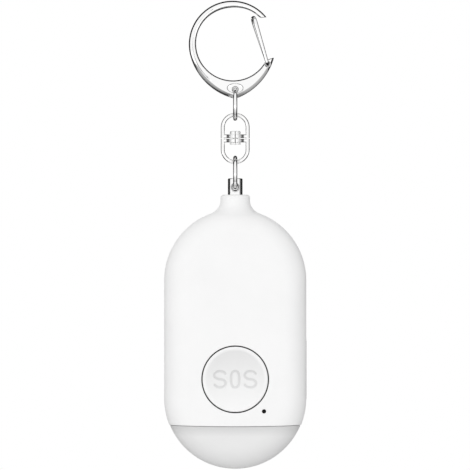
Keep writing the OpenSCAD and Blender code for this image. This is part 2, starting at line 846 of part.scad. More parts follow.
module pin_bush() {
    color("goldenrod") on_axis() difference() {
        union() {
            translate([0, 0, bush_low_z]) cylinder(d = bush_d, h = bush_h);
            translate([0, 0, bush_low_z]) cylinder(d = bush_flange_d, h = bush_flange_h);
        }
        translate([0, 0, bush_low_z - 1]) cylinder(r = pin_d / 2 + pin_play, h = bush_h + 2);
    }
}

// Two leaf contacts that stand on the board and touch the pin's tip from either side
module pin_contacts() {
    leaf_t = 0.3;
    leaf_w = 2.2;
    leaf_top_z = min(pin_low_z + pin_tip_h - 0.8, collar_low_z - 0.2);
    leaf_low_z = notch_z - 0.6;
    leaf_x = pin_tip_d / 2 + seat;
    leaf_rear_y = min(leaf_w / 2, sounder_front_y - 0.2);
    color("goldenrod") on_axis() for (side = [0, 1]) mirror([side, 0, 0]) {
        span([leaf_x, -leaf_w / 2, leaf_low_z], [leaf_x + leaf_t, leaf_rear_y, leaf_top_z]);
        span([leaf_x, board_rear_y, leaf_low_z], [leaf_x + leaf_t, leaf_rear_y, leaf_low_z + 1]);
        span([leaf_x, board_rear_y, notch_z - 3], [leaf_x + 1.6, board_rear_y + leaf_t, leaf_low_z + 1]);
    }
}

// Outline of the circuit board: the body's outline drawn in, cut off at the top and the bottom
module circuit_board() {
    color("seagreen") on_axis() difference() {
        intersection() {
            union() {
                translate([0, 0, upper_z]) along_y(board_front_y, board_rear_y, board_half_w);
                translate([0, 0, lower_z]) along_y(board_front_y, board_rear_y, board_half_w);
                span(
                    [-board_half_w, board_front_y, lower_z],
                    [board_half_w, board_rear_y, upper_z]
                );
            }
            span([-far, -far, board_low_z], [far, far, board_top_z]);
        }
        for (at = BOSSES)
            translate([at.x, 0, at.y]) along_y(board_front_y - 1, board_rear_y + 1, boss_r + boss_play);
        span([-notch_r, board_front_y - 1, notch_z], [notch_r, board_rear_y + 1, far]);
        for (at = SOUNDER_PINS)
            translate([at.x, 0, at.y]) along_y(board_front_y - 1, board_rear_y + 1, sounder_pin_r + seat);
    }
}

module button_switch() {
    color("dimgray") on_axis() translate([0, 0, button_z]) difference() {
        span([-switch_w / 2, switch_front_y, -switch_w / 2], [switch_w / 2, board_front_y, switch_w / 2]);
        along_y(switch_front_y - 1, board_front_y - switch_floor, stem_r + stem_play);
    }
}

module switch_stem() {
    color("black") on_axis() translate([0, 0, button_z])
        along_y(stem_front_y, stem_rear_y, stem_r);
}

module status_led() {
    half = indicator_led_w / 2;
    color("ivory") on_axis() translate([indicator_x, 0, indicator_z])
        span([-half, board_front_y - indicator_led_t, -half], [half, board_front_y, half]);
}

// The step-up coil: a ferrite drum with its winding between two flanges
coil_at = [-5, 0.8];
coil_r = 3.6;
coil_h = 3.4;
module boost_coil() {
    rim = 0.7;
    color("dimgray") on_axis() translate([coil_at.x, 0, sounder_z + coil_at.y]) {
        along_y(board_front_y - rim, board_front_y, coil_r);
        along_y(board_front_y - coil_h + rim, board_front_y - rim, coil_r - 0.5);
        along_y(board_front_y - coil_h, board_front_y - coil_h + rim, coil_r);
    }
}

// Chips on the board's front: across, up from the sounder's centre, side and height
CHIPS = [[5, 5.8, 5, 1.6], [6, -4.2, 4, 1.2], [-3, -5, 3, 1.1]];
module board_chips() {
    color("black") on_axis() for (chip = CHIPS)
        translate([chip[0], 0, sounder_z + chip[1]])
            span(
                [-chip[2] / 2, board_front_y - chip[3], -chip[2] / 2],
                [chip[2] / 2, board_front_y, chip[2] / 2]
            );
}

module usb_socket() {
    skin = 0.3;
    tongue_t = 0.7;
    tongue_w = 6.7;
    back = 1;
    color("silver") on_axis() translate([socket_mouth_x - socket_l, 0, port_z]) {
        rotate([0, 90, 0]) linear_extrude(socket_l) difference() {
            slot_outline(socket_w, socket_h);
            slot_outline(socket_w - 2 * skin, socket_h - 2 * skin);
        }
        rotate([0, 90, 0]) linear_extrude(back) slot_outline(socket_w - skin, socket_h - skin);
        span([0, -tongue_t / 2, -tongue_w / 2], [socket_l - 0.6, tongue_t / 2, tongue_w / 2]);
    }
}

module led_board() {
    color("seagreen") on_axis()
        span(
            [-led_board_w / 2, -led_board_d / 2, board_low_z - led_board_t],
            [led_board_w / 2, led_board_d / 2, board_low_z]
        );
}

module strobe_leds() {
    top = board_low_z - led_board_t;
    color("lightyellow") on_axis() for (x = LED_X)
        span([x - led_w / 2, -led_d / 2, top - led_t], [x + led_w / 2, led_d / 2, top]);
}

// A pouch cell with round edges, and its two metal tabs
module battery() {
    color("lightsteelblue") on_axis()
        translate([0, battery_rear_y - battery_t / 2, battery_low_z])
            linear_extrude(battery_top_z - battery_low_z) slot_outline(battery_w, battery_t);
}

module battery_tabs() {
    tab_t = 0.2;
    tab_w = 2;
    tab_x = 8.5;
    tab_h = 1;
    tab_y = battery_rear_y - battery_t / 2;
    color("silver") on_axis() for (side = [-1, 1]) translate([side * tab_x, 0, battery_top_z]) {
        span([-tab_w / 2, tab_y, 0], [tab_w / 2, tab_y + tab_t, tab_h]);
        span([-tab_w / 2, board_rear_y, tab_h - tab_t], [tab_w / 2, tab_y + tab_t, tab_h]);
    }
}

module battery_pad() {
    color("white") on_axis()
        span(
            [4 - battery_w / 2, battery_rear_y, battery_low_z + 2],
            [battery_w / 2 - 4, rear_in_y, battery_top_z - 2]
        );
}

// The sounder: a cup that opens to the grille, with a ledge that carries the disc
sounder_pin_r = 0.4;
sounder_pin_x = 5;
sounder_pin_drop = 8;
SOUNDER_PINS = [for (side = [-1, 1]) [side * sounder_pin_x, sounder_z - sounder_pin_drop]];
sounder_floor = 0.9;
ledge_w = 0.8;
disc_t = 0.5;
disc_front_y = sounder_front_y + sounder_floor + 1.6;
module sounder_case() {
    color("black") on_axis() translate([0, 0, sounder_z]) difference() {
        along_y(sounder_front_y, sounder_rear_y, sounder_d / 2);
        along_y(sounder_front_y + sounder_floor, disc_front_y + eps, sounder_d / 2 - sounder_wall - ledge_w);
        along_y(disc_front_y, sounder_rear_y + 1, sounder_d / 2 - sounder_wall);
    }
}

module piezo_disc() {
    color("goldenrod") on_axis() translate([0, 0, sounder_z])
        along_y(disc_front_y, disc_front_y + disc_t, sounder_d / 2 - sounder_wall - seat);
}

module sounder_pins() {
    color("silver") on_axis() for (at = SOUNDER_PINS)
        translate([at.x, 0, at.y]) along_y(board_front_y - 0.8, sounder_front_y, sounder_pin_r);
}

module sounder_gasket() {
    color("dimgray") on_axis() translate([0, 0, sounder_z]) difference() {
        along_y(sounder_rear_y, rear_in_y, sounder_d / 2 - 0.3);
        along_y(sounder_rear_y - 1, rear_in_y + 1, sounder_d / 2 - sounder_wall);
    }
}

module grille_cloth() {
    cloth_t = 0.2;
    color("black") on_axis() translate([0, 0, sounder_z])
        along_y(rear_in_y - cloth_t, rear_in_y, 2 * grille_pitch + grille_d);
}

snap_hook();
hook_gate();
upper_ring();
swivel_upper_loop();
swivel_rivet();
swivel_lower_loop();
lower_ring();
pull_pin();
front_shell();
rear_shell();
light_lens();
sos_button();
indicator_lens();
port_cover();
shell_screws();
pin_bush();
pin_contacts();
circuit_board();
button_switch();
switch_stem();
status_led();
boost_coil();
board_chips();
usb_socket();
led_board();
strobe_leds();
battery();
battery_tabs();
battery_pad();
sounder_case();
piezo_disc();
sounder_pins();
sounder_gasket();
grille_cloth();
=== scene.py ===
# %% [markdown]
# A pocket alarm that hangs from a snap hook.
# The CAD part is the fixed frame: it gives every place and size. This lesson dresses it. Each shape is a
# formula that numpy works out for a whole grid at once, and each finish is made of shader nodes. Lengths are
# in millimetres, except in the studio at the end, where they are in metres.

# %% Load the frame
import json
import math

import bmesh
import bpy
import numpy as np
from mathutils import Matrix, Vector


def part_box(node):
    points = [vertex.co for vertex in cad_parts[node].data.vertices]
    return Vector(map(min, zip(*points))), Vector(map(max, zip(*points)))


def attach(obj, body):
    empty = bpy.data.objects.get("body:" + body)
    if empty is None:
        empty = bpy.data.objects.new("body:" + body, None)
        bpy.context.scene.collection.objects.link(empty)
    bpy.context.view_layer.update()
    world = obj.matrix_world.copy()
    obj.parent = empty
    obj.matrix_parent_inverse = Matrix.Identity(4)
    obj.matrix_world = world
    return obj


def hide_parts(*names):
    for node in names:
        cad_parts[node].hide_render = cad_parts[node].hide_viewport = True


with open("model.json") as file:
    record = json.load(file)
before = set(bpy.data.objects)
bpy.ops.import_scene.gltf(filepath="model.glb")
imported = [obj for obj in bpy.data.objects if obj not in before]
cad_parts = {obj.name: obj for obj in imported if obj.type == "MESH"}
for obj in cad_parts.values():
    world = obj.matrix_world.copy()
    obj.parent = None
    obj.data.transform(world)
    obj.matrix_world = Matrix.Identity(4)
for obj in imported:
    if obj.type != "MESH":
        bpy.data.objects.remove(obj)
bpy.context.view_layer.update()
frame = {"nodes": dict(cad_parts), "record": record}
MM = 0.001
bodies = frame["record"]["behaviour"]["bodies"]
node_body = {node: body for body, members in bodies.items() for node in members}

# %% [markdown]
# Every new piece is one or more grids of points. A grid could be drawn by hand in edit mode, but a formula
# keeps it exact, and a change of one size then moves every point. The helpers here turn grids into a mesh:
# they join the points that meet, close open ends and turn the faces outwards.

# %% From grids of points to a mesh
WELD = 0.002 * MM
SHARP = math.radians(38)


def columns(*parts):
    """Arrays set side by side as columns, each first stretched to the shape that they share."""
    return np.stack(np.broadcast_arrays(*parts), axis=-1)


def grid_faces(rows, cols, loop_rows=False, loop_cols=False):
    """Faces of a grid: each joins a point to the next column and the next row; a loop meets its own start."""
    i = np.arange(rows if loop_rows else rows - 1)[:, None]
    j = np.arange(cols if loop_cols else cols - 1)[None, :]
    i_next, j_next = (i + 1) % rows, (j + 1) % cols
    corners = columns(i * cols + j, i * cols + j_next, i_next * cols + j_next, i_next * cols + j)
    return corners.reshape(-1, 4)


def tidy_mesh(mesh, close=True):
    """Joins points that meet, closes open ends, turns the faces outwards and shades them smooth."""
    work = bmesh.new()
    work.from_mesh(mesh)
    bmesh.ops.remove_doubles(work, verts=work.verts, dist=WELD)
    bmesh.ops.dissolve_degenerate(work, edges=work.edges, dist=WELD)
    if close:
        bmesh.ops.holes_fill(work, edges=work.edges, sides=0)
    bmesh.ops.recalc_face_normals(work, faces=work.faces)
    work.to_mesh(mesh)
    work.free()
    mesh.shade_smooth()
    mesh.set_sharp_from_angle(angle=SHARP)


def build(name, *grids, close=True):
    """One object from grids in millimetres. A grid is its points, in rows and columns, and the ways in which
    it closes on itself."""
    points, faces, start = [], [], 0
    for grid, loops in grids:
        rows, cols = grid.shape[:2]
        faces.append(start + grid_faces(rows, cols, "rows" in loops, "cols" in loops))
        points.append(grid.reshape(-1, 3) * MM)
        start += rows * cols
    mesh = bpy.data.meshes.new(name)
    mesh.from_pydata(np.concatenate(points).tolist(), [], np.concatenate(faces).tolist())
    tidy_mesh(mesh, close)
    piece = bpy.data.objects.new(name, mesh)
    bpy.context.scene.collection.objects.link(piece)
    return piece


print("a grid of 3 by 4 points has", len(grid_faces(3, 4)), "faces")

# %% [markdown]
# Holes are cut by a Boolean modifier, whose result is kept as the piece's own mesh. A hole could also be left
# out of the grid, but then every grid line would have to bend round it.

# %% Cut and join
SOLVER = "EXACT"


def combine(piece, other, operation):
    """Cuts one piece by another, or joins them, and drops the other."""
    step = piece.modifiers.new("step", "BOOLEAN")
    step.operation = operation
    step.solver = SOLVER
    step.object = other
    result = bpy.data.meshes.new_from_object(piece.evaluated_get(bpy.context.evaluated_depsgraph_get()))
    piece.modifiers.clear()
    spent = [piece.data, other.data]
    piece.data = result
    bpy.data.objects.remove(other)
    for mesh in spent:
        bpy.data.meshes.remove(mesh)
    tidy_mesh(result)


def cut(piece, *grids):
    """Takes the solids that grids enclose out of a piece."""
    combine(piece, build("cutter", *grids), "DIFFERENCE")


def join(piece, *grids):
    """Adds the solids that grids enclose to a piece."""
    combine(piece, build("addition", *grids), "UNION")


print("solids are cut and joined by the solver", SOLVER)

# %% [markdown]
# A finished piece says which CAD node it stands for. It then rides on that node's body, so it moves with the
# joints, and the node itself is hidden. Each piece could do this for itself, but one function can't forget a
# step.

# %% Stand for a CAD node
def box_mm(node):
    """Lowest and highest corner of a CAD node, in millimetres."""
    low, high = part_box(node)
    return np.array(low) / MM, np.array(high) / MM


def dress(piece, node, finish):
    """Gives a piece its finish and lets it stand for a CAD node, on the node's own body."""
    piece.data.materials.clear()
    piece.data.materials.append(finish)
    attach(piece, node_body[node])
    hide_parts(node)
    faces = piece.data.polygons
    sides = np.zeros(len(faces), np.int32)
    faces.foreach_get("loop_total", sides)
    print(f"{piece.name}: {int((sides - 2).sum())} triangles, rides on {node_body[node]}")


shell_low, shell_high = box_mm("front_shell")
print("the front shell reaches from", shell_low.round(2), "to", shell_high.round(2))

# %% [markdown]
# Three more tools make most of the metal: a line whose bends are arcs, a wire that follows such a line, and a
# turned shape like one from a lathe. Blender's curve and screw tools could do the same, but with arrays a
# formula can still bend or press the grid before it becomes a mesh.

# %% Lines, wires and turned shapes
def unit(vector):
    """The same direction, one long."""
    return vector / np.linalg.norm(vector)


def rounded_line(corners, radius, steps=8):
    """A line through corners whose bends are arcs: each arc's centre lies on the bend's bisector."""
    corners = np.asarray(corners, float)
    radii = np.broadcast_to(radius, len(corners) - 2)
    line = [corners[:1]]
    share = np.linspace(0, 1, steps + 1)[:, None]
    for before, at, after, r in zip(corners, corners[1:], corners[2:], radii):
        back, on = unit(before - at), unit(after - at)
        half = math.acos(np.clip(back @ on, -1, 1)) / 2
        centre = at + unit(back + on) * r / math.sin(half)
        start = at + back * r / math.tan(half) - centre
        end = at + on * r / math.tan(half) - centre
        sweep = math.pi - 2 * half
        turned_by = np.sin((1 - share) * sweep) * start + np.sin(share * sweep) * end
        line.append(centre + turned_by / math.sin(sweep))
    return np.concatenate(line + [corners[-1:]])


def arc(centre, radius, from_deg, to_deg, steps):
    """Points on a circle, as two columns."""
    turn = np.radians(np.linspace(from_deg, to_deg, steps + 1))
    return np.asarray(centre, float) + radius * columns(np.cos(turn), np.sin(turn))


def wire(path, radius, normal, sides=32):
    """A wire: a circle stands across each point of a flat path, on the plane's normal and on the direction
    that points sideways from the path."""
    path = np.asarray(path, float)
    steps = np.diff(path, axis=0)
    steps /= np.linalg.norm(steps, axis=1, keepdims=True)
    ahead = np.concatenate([steps[:1], steps[:-1] + steps[1:], steps[-1:]])
    ahead /= np.linalg.norm(ahead, axis=1, keepdims=True)
    normal = np.asarray(normal, float)
    side = np.cross(ahead, normal)
    turn = np.linspace(0, 2 * np.pi, sides, endpoint=False)[None, :, None]
    return path[:, None] + radius * (np.cos(turn) * normal + np.sin(turn) * side[:, None]), "cols"


def turned(profile, axis, centre=(0, 0, 0), sides=96):
    """A turned shape: each profile point, a radius and a height along the axis, becomes a circle round it."""
    profile = np.asarray(profile, float)
    turn = np.linspace(0, 2 * np.pi, sides, endpoint=False)
    across, up, along = profile[:, :1] * np.cos(turn), profile[:, :1] * np.sin(turn), profile[:, 1:]
    order = {"x": (along, across, up), "y": (across, along, up), "z": (across, up, along)}[axis]
    return columns(*order) + np.asarray(centre, float), "cols"


print("one bend has", len(rounded_line([(0, 0), (1, 0), (1, 1)], 0.2)), "points")

# %% [markdown]
# Finishes come before the pieces that wear them. They are put together from a few kinds of node: noise, a
# change of range, a mix of colours and a relief. All of it reads Object coordinates, so a pattern stays on
# its piece as the piece moves. Images could do the same, but each piece would need a map of its own.

# %% Nodes for a finish
NOISE_DETAIL = 3


def new_finish(name):
    """A finish with its first shader, and the nodes and links that it is made of."""
    finish = bpy.data.materials.new(name)
    finish.use_nodes = True
    return finish, finish.node_tree.nodes, finish.node_tree.links


def noise(nodes, links, size_mm, stretch=(1, 1, 1)):
    """Noise whose cells are about that size; a stretch below 1 draws them out along that axis."""
    turn = nodes.new("ShaderNodeMapping")
    turn.inputs["Scale"].default_value = stretch
    pattern = nodes.new("ShaderNodeTexNoise")
    pattern.inputs["Scale"].default_value = 1 / (size_mm * MM)
    pattern.inputs["Detail"].default_value = NOISE_DETAIL
    links.new(nodes.new("ShaderNodeTexCoord").outputs["Object"], turn.inputs["Vector"])
    links.new(turn.outputs["Vector"], pattern.inputs["Vector"])
    return pattern.outputs["Fac"]


def place_along(nodes, links, axis):
    """Where a point lies along one axis of its object, in metres."""
    split = nodes.new("ShaderNodeSeparateXYZ")
    links.new(nodes.new("ShaderNodeTexCoord").outputs["Object"], split.inputs["Vector"])
    return split.outputs[axis]


def remap(nodes, links, value, low, high, from_low=0.0, from_high=1.0):
    """A value stretched from one range to another."""
    scale = nodes.new("ShaderNodeMapRange")
    ends = {"From Min": from_low, "From Max": from_high, "To Min": low, "To Max": high}
    for socket, number in ends.items():
        scale.inputs[socket].default_value = number
    links.new(value, scale.inputs["Value"])
    return scale.outputs["Result"]


def colour_mix(nodes, links, value):
    """A node that mixes two colours by a value, as its two colour inputs and its output."""
    mix = nodes.new("ShaderNodeMix")
    mix.data_type = "RGBA"
    links.new(value, mix.inputs[0])
    return mix.inputs[6], mix.inputs[7], mix.outputs[2]


def tint(nodes, links, value, first, second):
    """A colour between two, by a value from 0 to 1."""
    low, high, out = colour_mix(nodes, links, value)
    low.default_value = (*first, 1)
    high.default_value = (*second, 1)
    return out


def relief(nodes, links, value, depth_mm):
    """A fine relief of that depth, as a bent normal."""
    bump = nodes.new("ShaderNodeBump")
    bump.inputs["Distance"].default_value = depth_mm * MM
    links.new(value, bump.inputs["Height"])
    return bump.outputs["Normal"]


print("noise has", NOISE_DETAIL, "finer layers on its first one")

# %% [markdown]
# No finish here is one flat colour. A slow noise drifts the tint and the gloss, as handling does, and a fine
# noise raises the grain that a mould or a plating bath leaves. One function makes them all, and the numbers
# tell a metal from a moulding.

# %% A grained finish
DRIFT_RANGE = (0.3, 0.7)


def grained(name, first, second, gloss, grain_mm, depth_mm, drift_mm=9, stretch=(1, 1, 1), **sockets):
    """A finish with drift and grain: slow noise tints it and varies its roughness, fine noise raises it."""
    finish, nodes, links = new_finish(name)
    shader = nodes["Principled BSDF"]
    drift = remap(nodes, links, noise(nodes, links, drift_mm), 0, 1, *DRIFT_RANGE)
    grain = noise(nodes, links, grain_mm, stretch)
    links.new(tint(nodes, links, drift, first, second), shader.inputs["Base Color"])
    links.new(remap(nodes, links, drift, *gloss), shader.inputs["Roughness"])
    links.new(relief(nodes, links, grain, depth_mm), shader.inputs["Normal"])
    for socket, number in sockets.items():
        shader.inputs[socket.replace("_", " ")].default_value = number
    return finish


def grey(level, warm=0.0):
    """A grey, a touch warm where asked."""
    return (level + warm, level, level - warm)


print("a warm grey", grey(0.5, 0.01))

# %% [markdown]
# The hook is cast and bright plated, the wires are drawn, and the post is turned. All mirror their
# surroundings, so their look comes from a low roughness and from what stands round them. The grain differs:
# faint waves on the casting, a finer grain on the wires, and rings round the post. A picture of a studio
# could be wrapped round them instead, but it would not change as they turn.

# %% Bright metals
cast_plate = grained(
    "cast_plate", grey(0.94), grey(0.975, 0.003), (0.07, 0.13), grain_mm=1.6, depth_mm=0.004, Metallic=1.0
)
drawn_plate = grained(
    "drawn_plate", grey(0.92), grey(0.965, 0.003), (0.08, 0.16), grain_mm=0.5, depth_mm=0.003, drift_mm=4,
    Metallic=1.0
)
spring_plate = grained(
    "spring_plate", grey(0.91), grey(0.96), (0.08, 0.15), grain_mm=0.6, depth_mm=0.003, drift_mm=5,
    Metallic=1.0
)
turned_plate = grained(
    "turned_plate", grey(0.93), grey(0.97), (0.06, 0.12), grain_mm=0.9, depth_mm=0.002, drift_mm=5,
    stretch=(0.1, 0.1, 3), Metallic=1.0
)
print("bright metals", [m.name for m in (cast_plate, drawn_plate, spring_plate, turned_plate)])

# %% [markdown]
# The shells are a plain white moulding with a satin face. A mould that is blasted with fine grit leaves a
# grain of about a tenth of a millimetre, too shallow to see as bumps, but it spreads the highlights. It could
# be modelled, at the cost of millions of faces; a bent normal looks the same. The flap over the port is matt
# grey silicone, and the indicator is a plastic smoked almost to black.

# %% Mouldings
SATIN = 0.12
shell_white = grained(
    "shell_white", grey(0.905), grey(0.925), (0.42, 0.5), grain_mm=0.11, depth_mm=0.0022, drift_mm=14,
    Specular_IOR_Level=SATIN
)
cover_silicone = grained(
    "cover_silicone", grey(0.41), grey(0.47), (0.62, 0.78), grain_mm=0.07, depth_mm=0.004, drift_mm=3
)
smoked_plastic = grained(
    "smoked_plastic", grey(0.003), grey(0.006), (0.3, 0.4), grain_mm=0.4, depth_mm=0.001, drift_mm=1,
    Specular_IOR_Level=0.1
)
print("mouldings", shell_white.name, cover_silicone.name, smoked_plastic.name)

# %% [markdown]
# The body is a pebble: a stadium seen from the front, with its edge rolled over. Rather than model it face by
# face, we write how far any point is from its surface, and then walk out from the middle until that distance
# is zero. The neck is a second distance, and one formula rounds the corner between the two.

# %% The body as a distance
EDGE_R = 6.5
NECK_R = 4.15
NECK_H = 4.1
NECK_ROUND = 0.8
NECK_FILLET = 2.8
LENS_STEP = 0.15
HALVINGS = 40
lens_low = box_mm("light_lens")[0]
AXIS_X = (shell_low[0] + shell_high[0]) / 2
HALF_W = (shell_high[0] - shell_low[0]) / 2
HALF_T = -shell_low[1]
LENS_Z = shell_low[2]
NECK_TOP = shell_high[2]
UPPER_Z = NECK_TOP - NECK_H - HALF_W
LOWER_Z = lens_low[2] - LENS_STEP + HALF_W
START_REACH = 1.5 * HALF_W


def rounded_distance(out, deep, r):
    """Distance to a corner of radius r, from the distances past the two lines where its rounding starts."""
    beyond = np.hypot(np.maximum(out, 0), np.maximum(deep, 0))
    return beyond + np.minimum(np.maximum(out, deep), 0) - r


def pebble_distance(x, y, z):
    """A rounded corner between two distances: across the face from the line between the two round ends, and
    in depth from the mid-plane."""
    across = np.hypot(x, z - np.clip(z, LOWER_Z, UPPER_Z))
    return rounded_distance(across - (HALF_W - EDGE_R), np.abs(y) - (HALF_T - EDGE_R), EDGE_R)


def necked_distance(x, y, z):
    """The pebble and the neck, joined by a fillet: near both, the distance is taken from a circle between
    them."""
    out, up = np.hypot(x, y) - (NECK_R - NECK_ROUND), z - (NECK_TOP - NECK_ROUND)
    neck, pebble = rounded_distance(out, up, NECK_ROUND), pebble_distance(x, y, z)
    near = np.hypot(np.maximum(NECK_FILLET - neck, 0), np.maximum(NECK_FILLET - pebble, 0))
    return np.maximum(NECK_FILLET, np.minimum(neck, pebble)) - near


def skin(bearing, height, inset=0.0, distance=pebble_distance):
    """Points of the body's skin, drawn in by an inset: along each bearing and height, the reach is halved
    down to where the distance to the surface equals the inset."""
    bearing, height, inset = np.broadcast_arrays(bearing, height, inset)
    x, y = np.cos(bearing), np.sin(bearing)
    near, far = np.zeros(x.shape), np.full(x.shape, START_REACH)
    for _ in range(HALVINGS):
        reach = (near + far) / 2
        inside = distance(x * reach, y * reach, height) < -inset
        near, far = np.where(inside, reach, near), np.where(inside, far, reach)
    return columns(AXIS_X + x * far, y * far, height)


print("body", 2 * HALF_W, "x", 2 * HALF_T, "mm, neck top at", round(NECK_TOP, 2))

# %% [markdown]
# The skin is sampled on bearings round the body's axis and on heights. Even steps would waste points on the
# flat face and starve the rolled edge, so the bearings come from even steps along a cross-section, and the
# heights from even steps round the dome.

# %% Where to sample the skin
FACE_STEPS = 44
ROLL_STEPS = 22
SIDE_SHARE = 0.6


def half_bearings():
    """Bearings across one half, from one side to the other, as points along a cross-section."""
    side = np.array([[HALF_W, SIDE_SHARE * (HALF_T - EDGE_R)]])
    roll = arc((HALF_W - EDGE_R, HALF_T - EDGE_R), EDGE_R, 0, 90, ROLL_STEPS)
    face = columns(np.linspace(HALF_W - EDGE_R, 0, FACE_STEPS // 2 + 1)[1:], HALF_T)
    quarter = np.concatenate([side, roll, face])
    right = np.arctan2(quarter[:, 1], quarter[:, 0])
    return np.concatenate([right, np.pi - right[-2::-1]])


def dome(from_deg, to_deg, steps, radius, centre):
    """Heights at even steps round a dome."""
    return centre + radius * np.sin(np.radians(np.linspace(from_deg, to_deg, steps + 1)))


def dome_deg(drop, radius):
    """How far below level a point of a dome lies, as an angle, from its drop below the middle."""
    return math.degrees(math.asin(drop / radius))


around = np.concatenate([half_bearings(), 2 * np.pi - half_bearings()[::-1]])
print("bearings", len(around))

# %% [markdown]
# The shells end at a seam, with the lens below it. On the real alarm the seam is a level cut, and a level cut
# on a round face seems to dip in the middle when it is seen from close by. The camera here has a long lens,
# which would draw it straight, so the rows near the seam are lowered a little along a parabola.

# %% Rows up the outside
EASE = 0.12
SEAM_DIP = 0.33
DIP_REACH = 3.0
FILLET_DEG = 72
TOP_DEG = (10, 84)
SEAM_HALF = skin(0.0, LENS_Z)[0] - AXIS_X


def shell_heights():
    """Heights up the outside: round the lower dome, up the straight sides, round the upper dome to where the
    neck's fillet starts, up the neck, and round its top."""
    low = dome(-dome_deg(LOWER_Z - LENS_Z - 2 * EASE, HALF_W), 0, 12, HALF_W, LOWER_Z)
    straight = np.linspace(LOWER_Z, UPPER_Z, 26)[1:-1]
    high = dome(0, FILLET_DEG, 40, HALF_W, UPPER_Z)
    neck = np.linspace(high[-1], NECK_TOP - NECK_ROUND, 36)[1:]
    top = dome(*TOP_DEG, 7, NECK_ROUND, NECK_TOP - NECK_ROUND)
    return np.concatenate([low, straight, high, neck, top])


def seam_dip(bearing, height):
    """How far a height near the lens seam is lowered: a parabola across the face, which fades out above and
    below the seam."""
    across = skin(bearing, LENS_Z)[..., 0] - AXIS_X
    near = np.exp(-((height - LENS_Z) / DIP_REACH) ** 2)
    return -SEAM_DIP * near * (1 - (across / SEAM_HALF) ** 2)


print("rows up the outside", len(shell_heights()))

# %% [markdown]
# Each shell is one half of the pebble's wall. Going once round its section, a row of points climbs the
# outside to the neck's top, dips through the pin's bore, and comes back down the inside. Both edges at the
# parting line are drawn in by a little over a tenth of a millimetre, which makes the fine groove that real
# half shells show. A Solidify modifier could thicken a bare skin, but it would leave out bore and groove.

# %% The two shells
WALL = 1.6
BORE_R = 2.3
BORE_EASE = 0.15
RIM_IN = 0.05
SEAM = 0.02
HAIR = 1e-6


def parted(rows, side):
    """Adds two columns at each parting line. They lie as far from the axis as the end column does, or on the
    flat sides as far out, and the last one is drawn in to make half a groove."""
    def edge(column, depth, draw):
        """An end column carried on to a depth near the parting plane, and drawn in."""
        x = column[:, 0] - AXIS_X
        reach = np.hypot(x, column[:, 1])
        flat = np.minimum(np.abs(x) + HAIR, reach)
        wide = np.where(reach > NECK_R + NECK_FILLET, flat, reach)
        return columns(AXIS_X + np.sign(x) * (wide - draw), side * depth, column[:, 2])

    first, last = rows[:, 0], rows[:, -1]
    starts = np.stack([edge(first, SEAM, EASE), edge(first, EASE, 0)], axis=1)
    ends = np.stack([edge(last, EASE, 0), edge(last, SEAM, EASE)], axis=1)
    return np.concatenate([starts, rows, ends], axis=1)


def shell_grid(side):
    """One shell as rows that run round its section: outside, rim, bore and inside."""
    bearing = side * half_bearings()[None, :]
    foot_z = LENS_Z + np.array([[0], [EASE / 3], [EASE]])
    foot = skin(bearing, foot_z + seam_dip(bearing, foot_z), np.array([[EASE], [EASE / 3], [0]]))
    rise = shell_heights()[:, None]
    outside = skin(bearing, rise + seam_dip(bearing, rise), 0.0, necked_distance)
    rim_r = np.array([NECK_R - NECK_ROUND - RIM_IN, BORE_R + BORE_EASE, BORE_R, BORE_R])[:, None]
    rim_z = np.array([NECK_TOP, NECK_TOP, NECK_TOP - BORE_EASE, UPPER_Z + HALF_W - WALL])[:, None]
    rim = columns(AXIS_X + rim_r * np.cos(bearing), rim_r * np.sin(bearing), rim_z)
    inner_r = HALF_W - WALL
    upper = dome(80, 0, 24, inner_r, UPPER_Z)
    lower = dome(0, -dome_deg(LOWER_Z - LENS_Z, inner_r), 8, inner_r, LOWER_Z)
    fall = np.concatenate([upper, lower])[:, None]
    inside = skin(bearing, fall + seam_dip(bearing, fall), WALL)
    return parted(np.concatenate([foot, outside, rim, inside]), side), "rows"


front = build("front_shell_skin", shell_grid(-1))
rear = build("rear_shell_skin", shell_grid(1))
print("shells", len(front.data.polygons), len(rear.data.polygons))

# %% [markdown]
# The front shell has two holes, for the button and for the indicator beside it. Moulded holes have a rounded
# lip. The cut edge could be bevelled afterwards, but it is simpler to give the round to the tool, which
# flares as a quarter circle where it meets the face.

# %% Cut the front shell
BUTTON_HOLE_R = 9.5
BUTTON_LIP = 0.14
DOT_HOLE_R = 0.6
DOT_LIP = 0.08
PAST = 2.0
button_low, button_high = box_mm("sos_button")
BUTTON_Z = (button_low[2] + button_high[2]) / 2
dot_low, dot_high = box_mm("indicator_lens")
DOT = ((dot_low[0] + dot_high[0]) / 2, 0, (dot_low[2] + dot_high[2]) / 2)


def eased_hole(r, lip, face, inner):
    """Profile of a hole's cutter: straight from inside to near the face, then flared as a quarter circle."""
    way = math.copysign(1, face - inner)
    flare = arc((0, 0), lip, 180, 90, 6) * (1, way) + (r + lip, face - way * lip)
    outer = face + way * PAST
    return np.concatenate([[(0, inner), (r, inner)], flare, [(r + lip, outer), (0, outer)]])


FRONT_IN = -HALF_T + 2 * WALL
button_hole = eased_hole(BUTTON_HOLE_R, BUTTON_LIP, -HALF_T, FRONT_IN)
button_tool = turned(button_hole, "y", (AXIS_X, 0, BUTTON_Z), 240)
dot_tool = turned(eased_hole(DOT_HOLE_R, DOT_LIP, -HALF_T, FRONT_IN), "y", DOT, 48)
cut(front, button_tool, dot_tool)
print("front shell cut", len(front.data.polygons))

# %% [markdown]
# On the back, nineteen sound holes stand in rings of six and twelve round a middle one. A dark pattern could
# stand for them, but real holes let the cloth behind show. The screw wells need posts round them, or one
# would look past the screws into the case, so posts are joined on before the wells are bored.

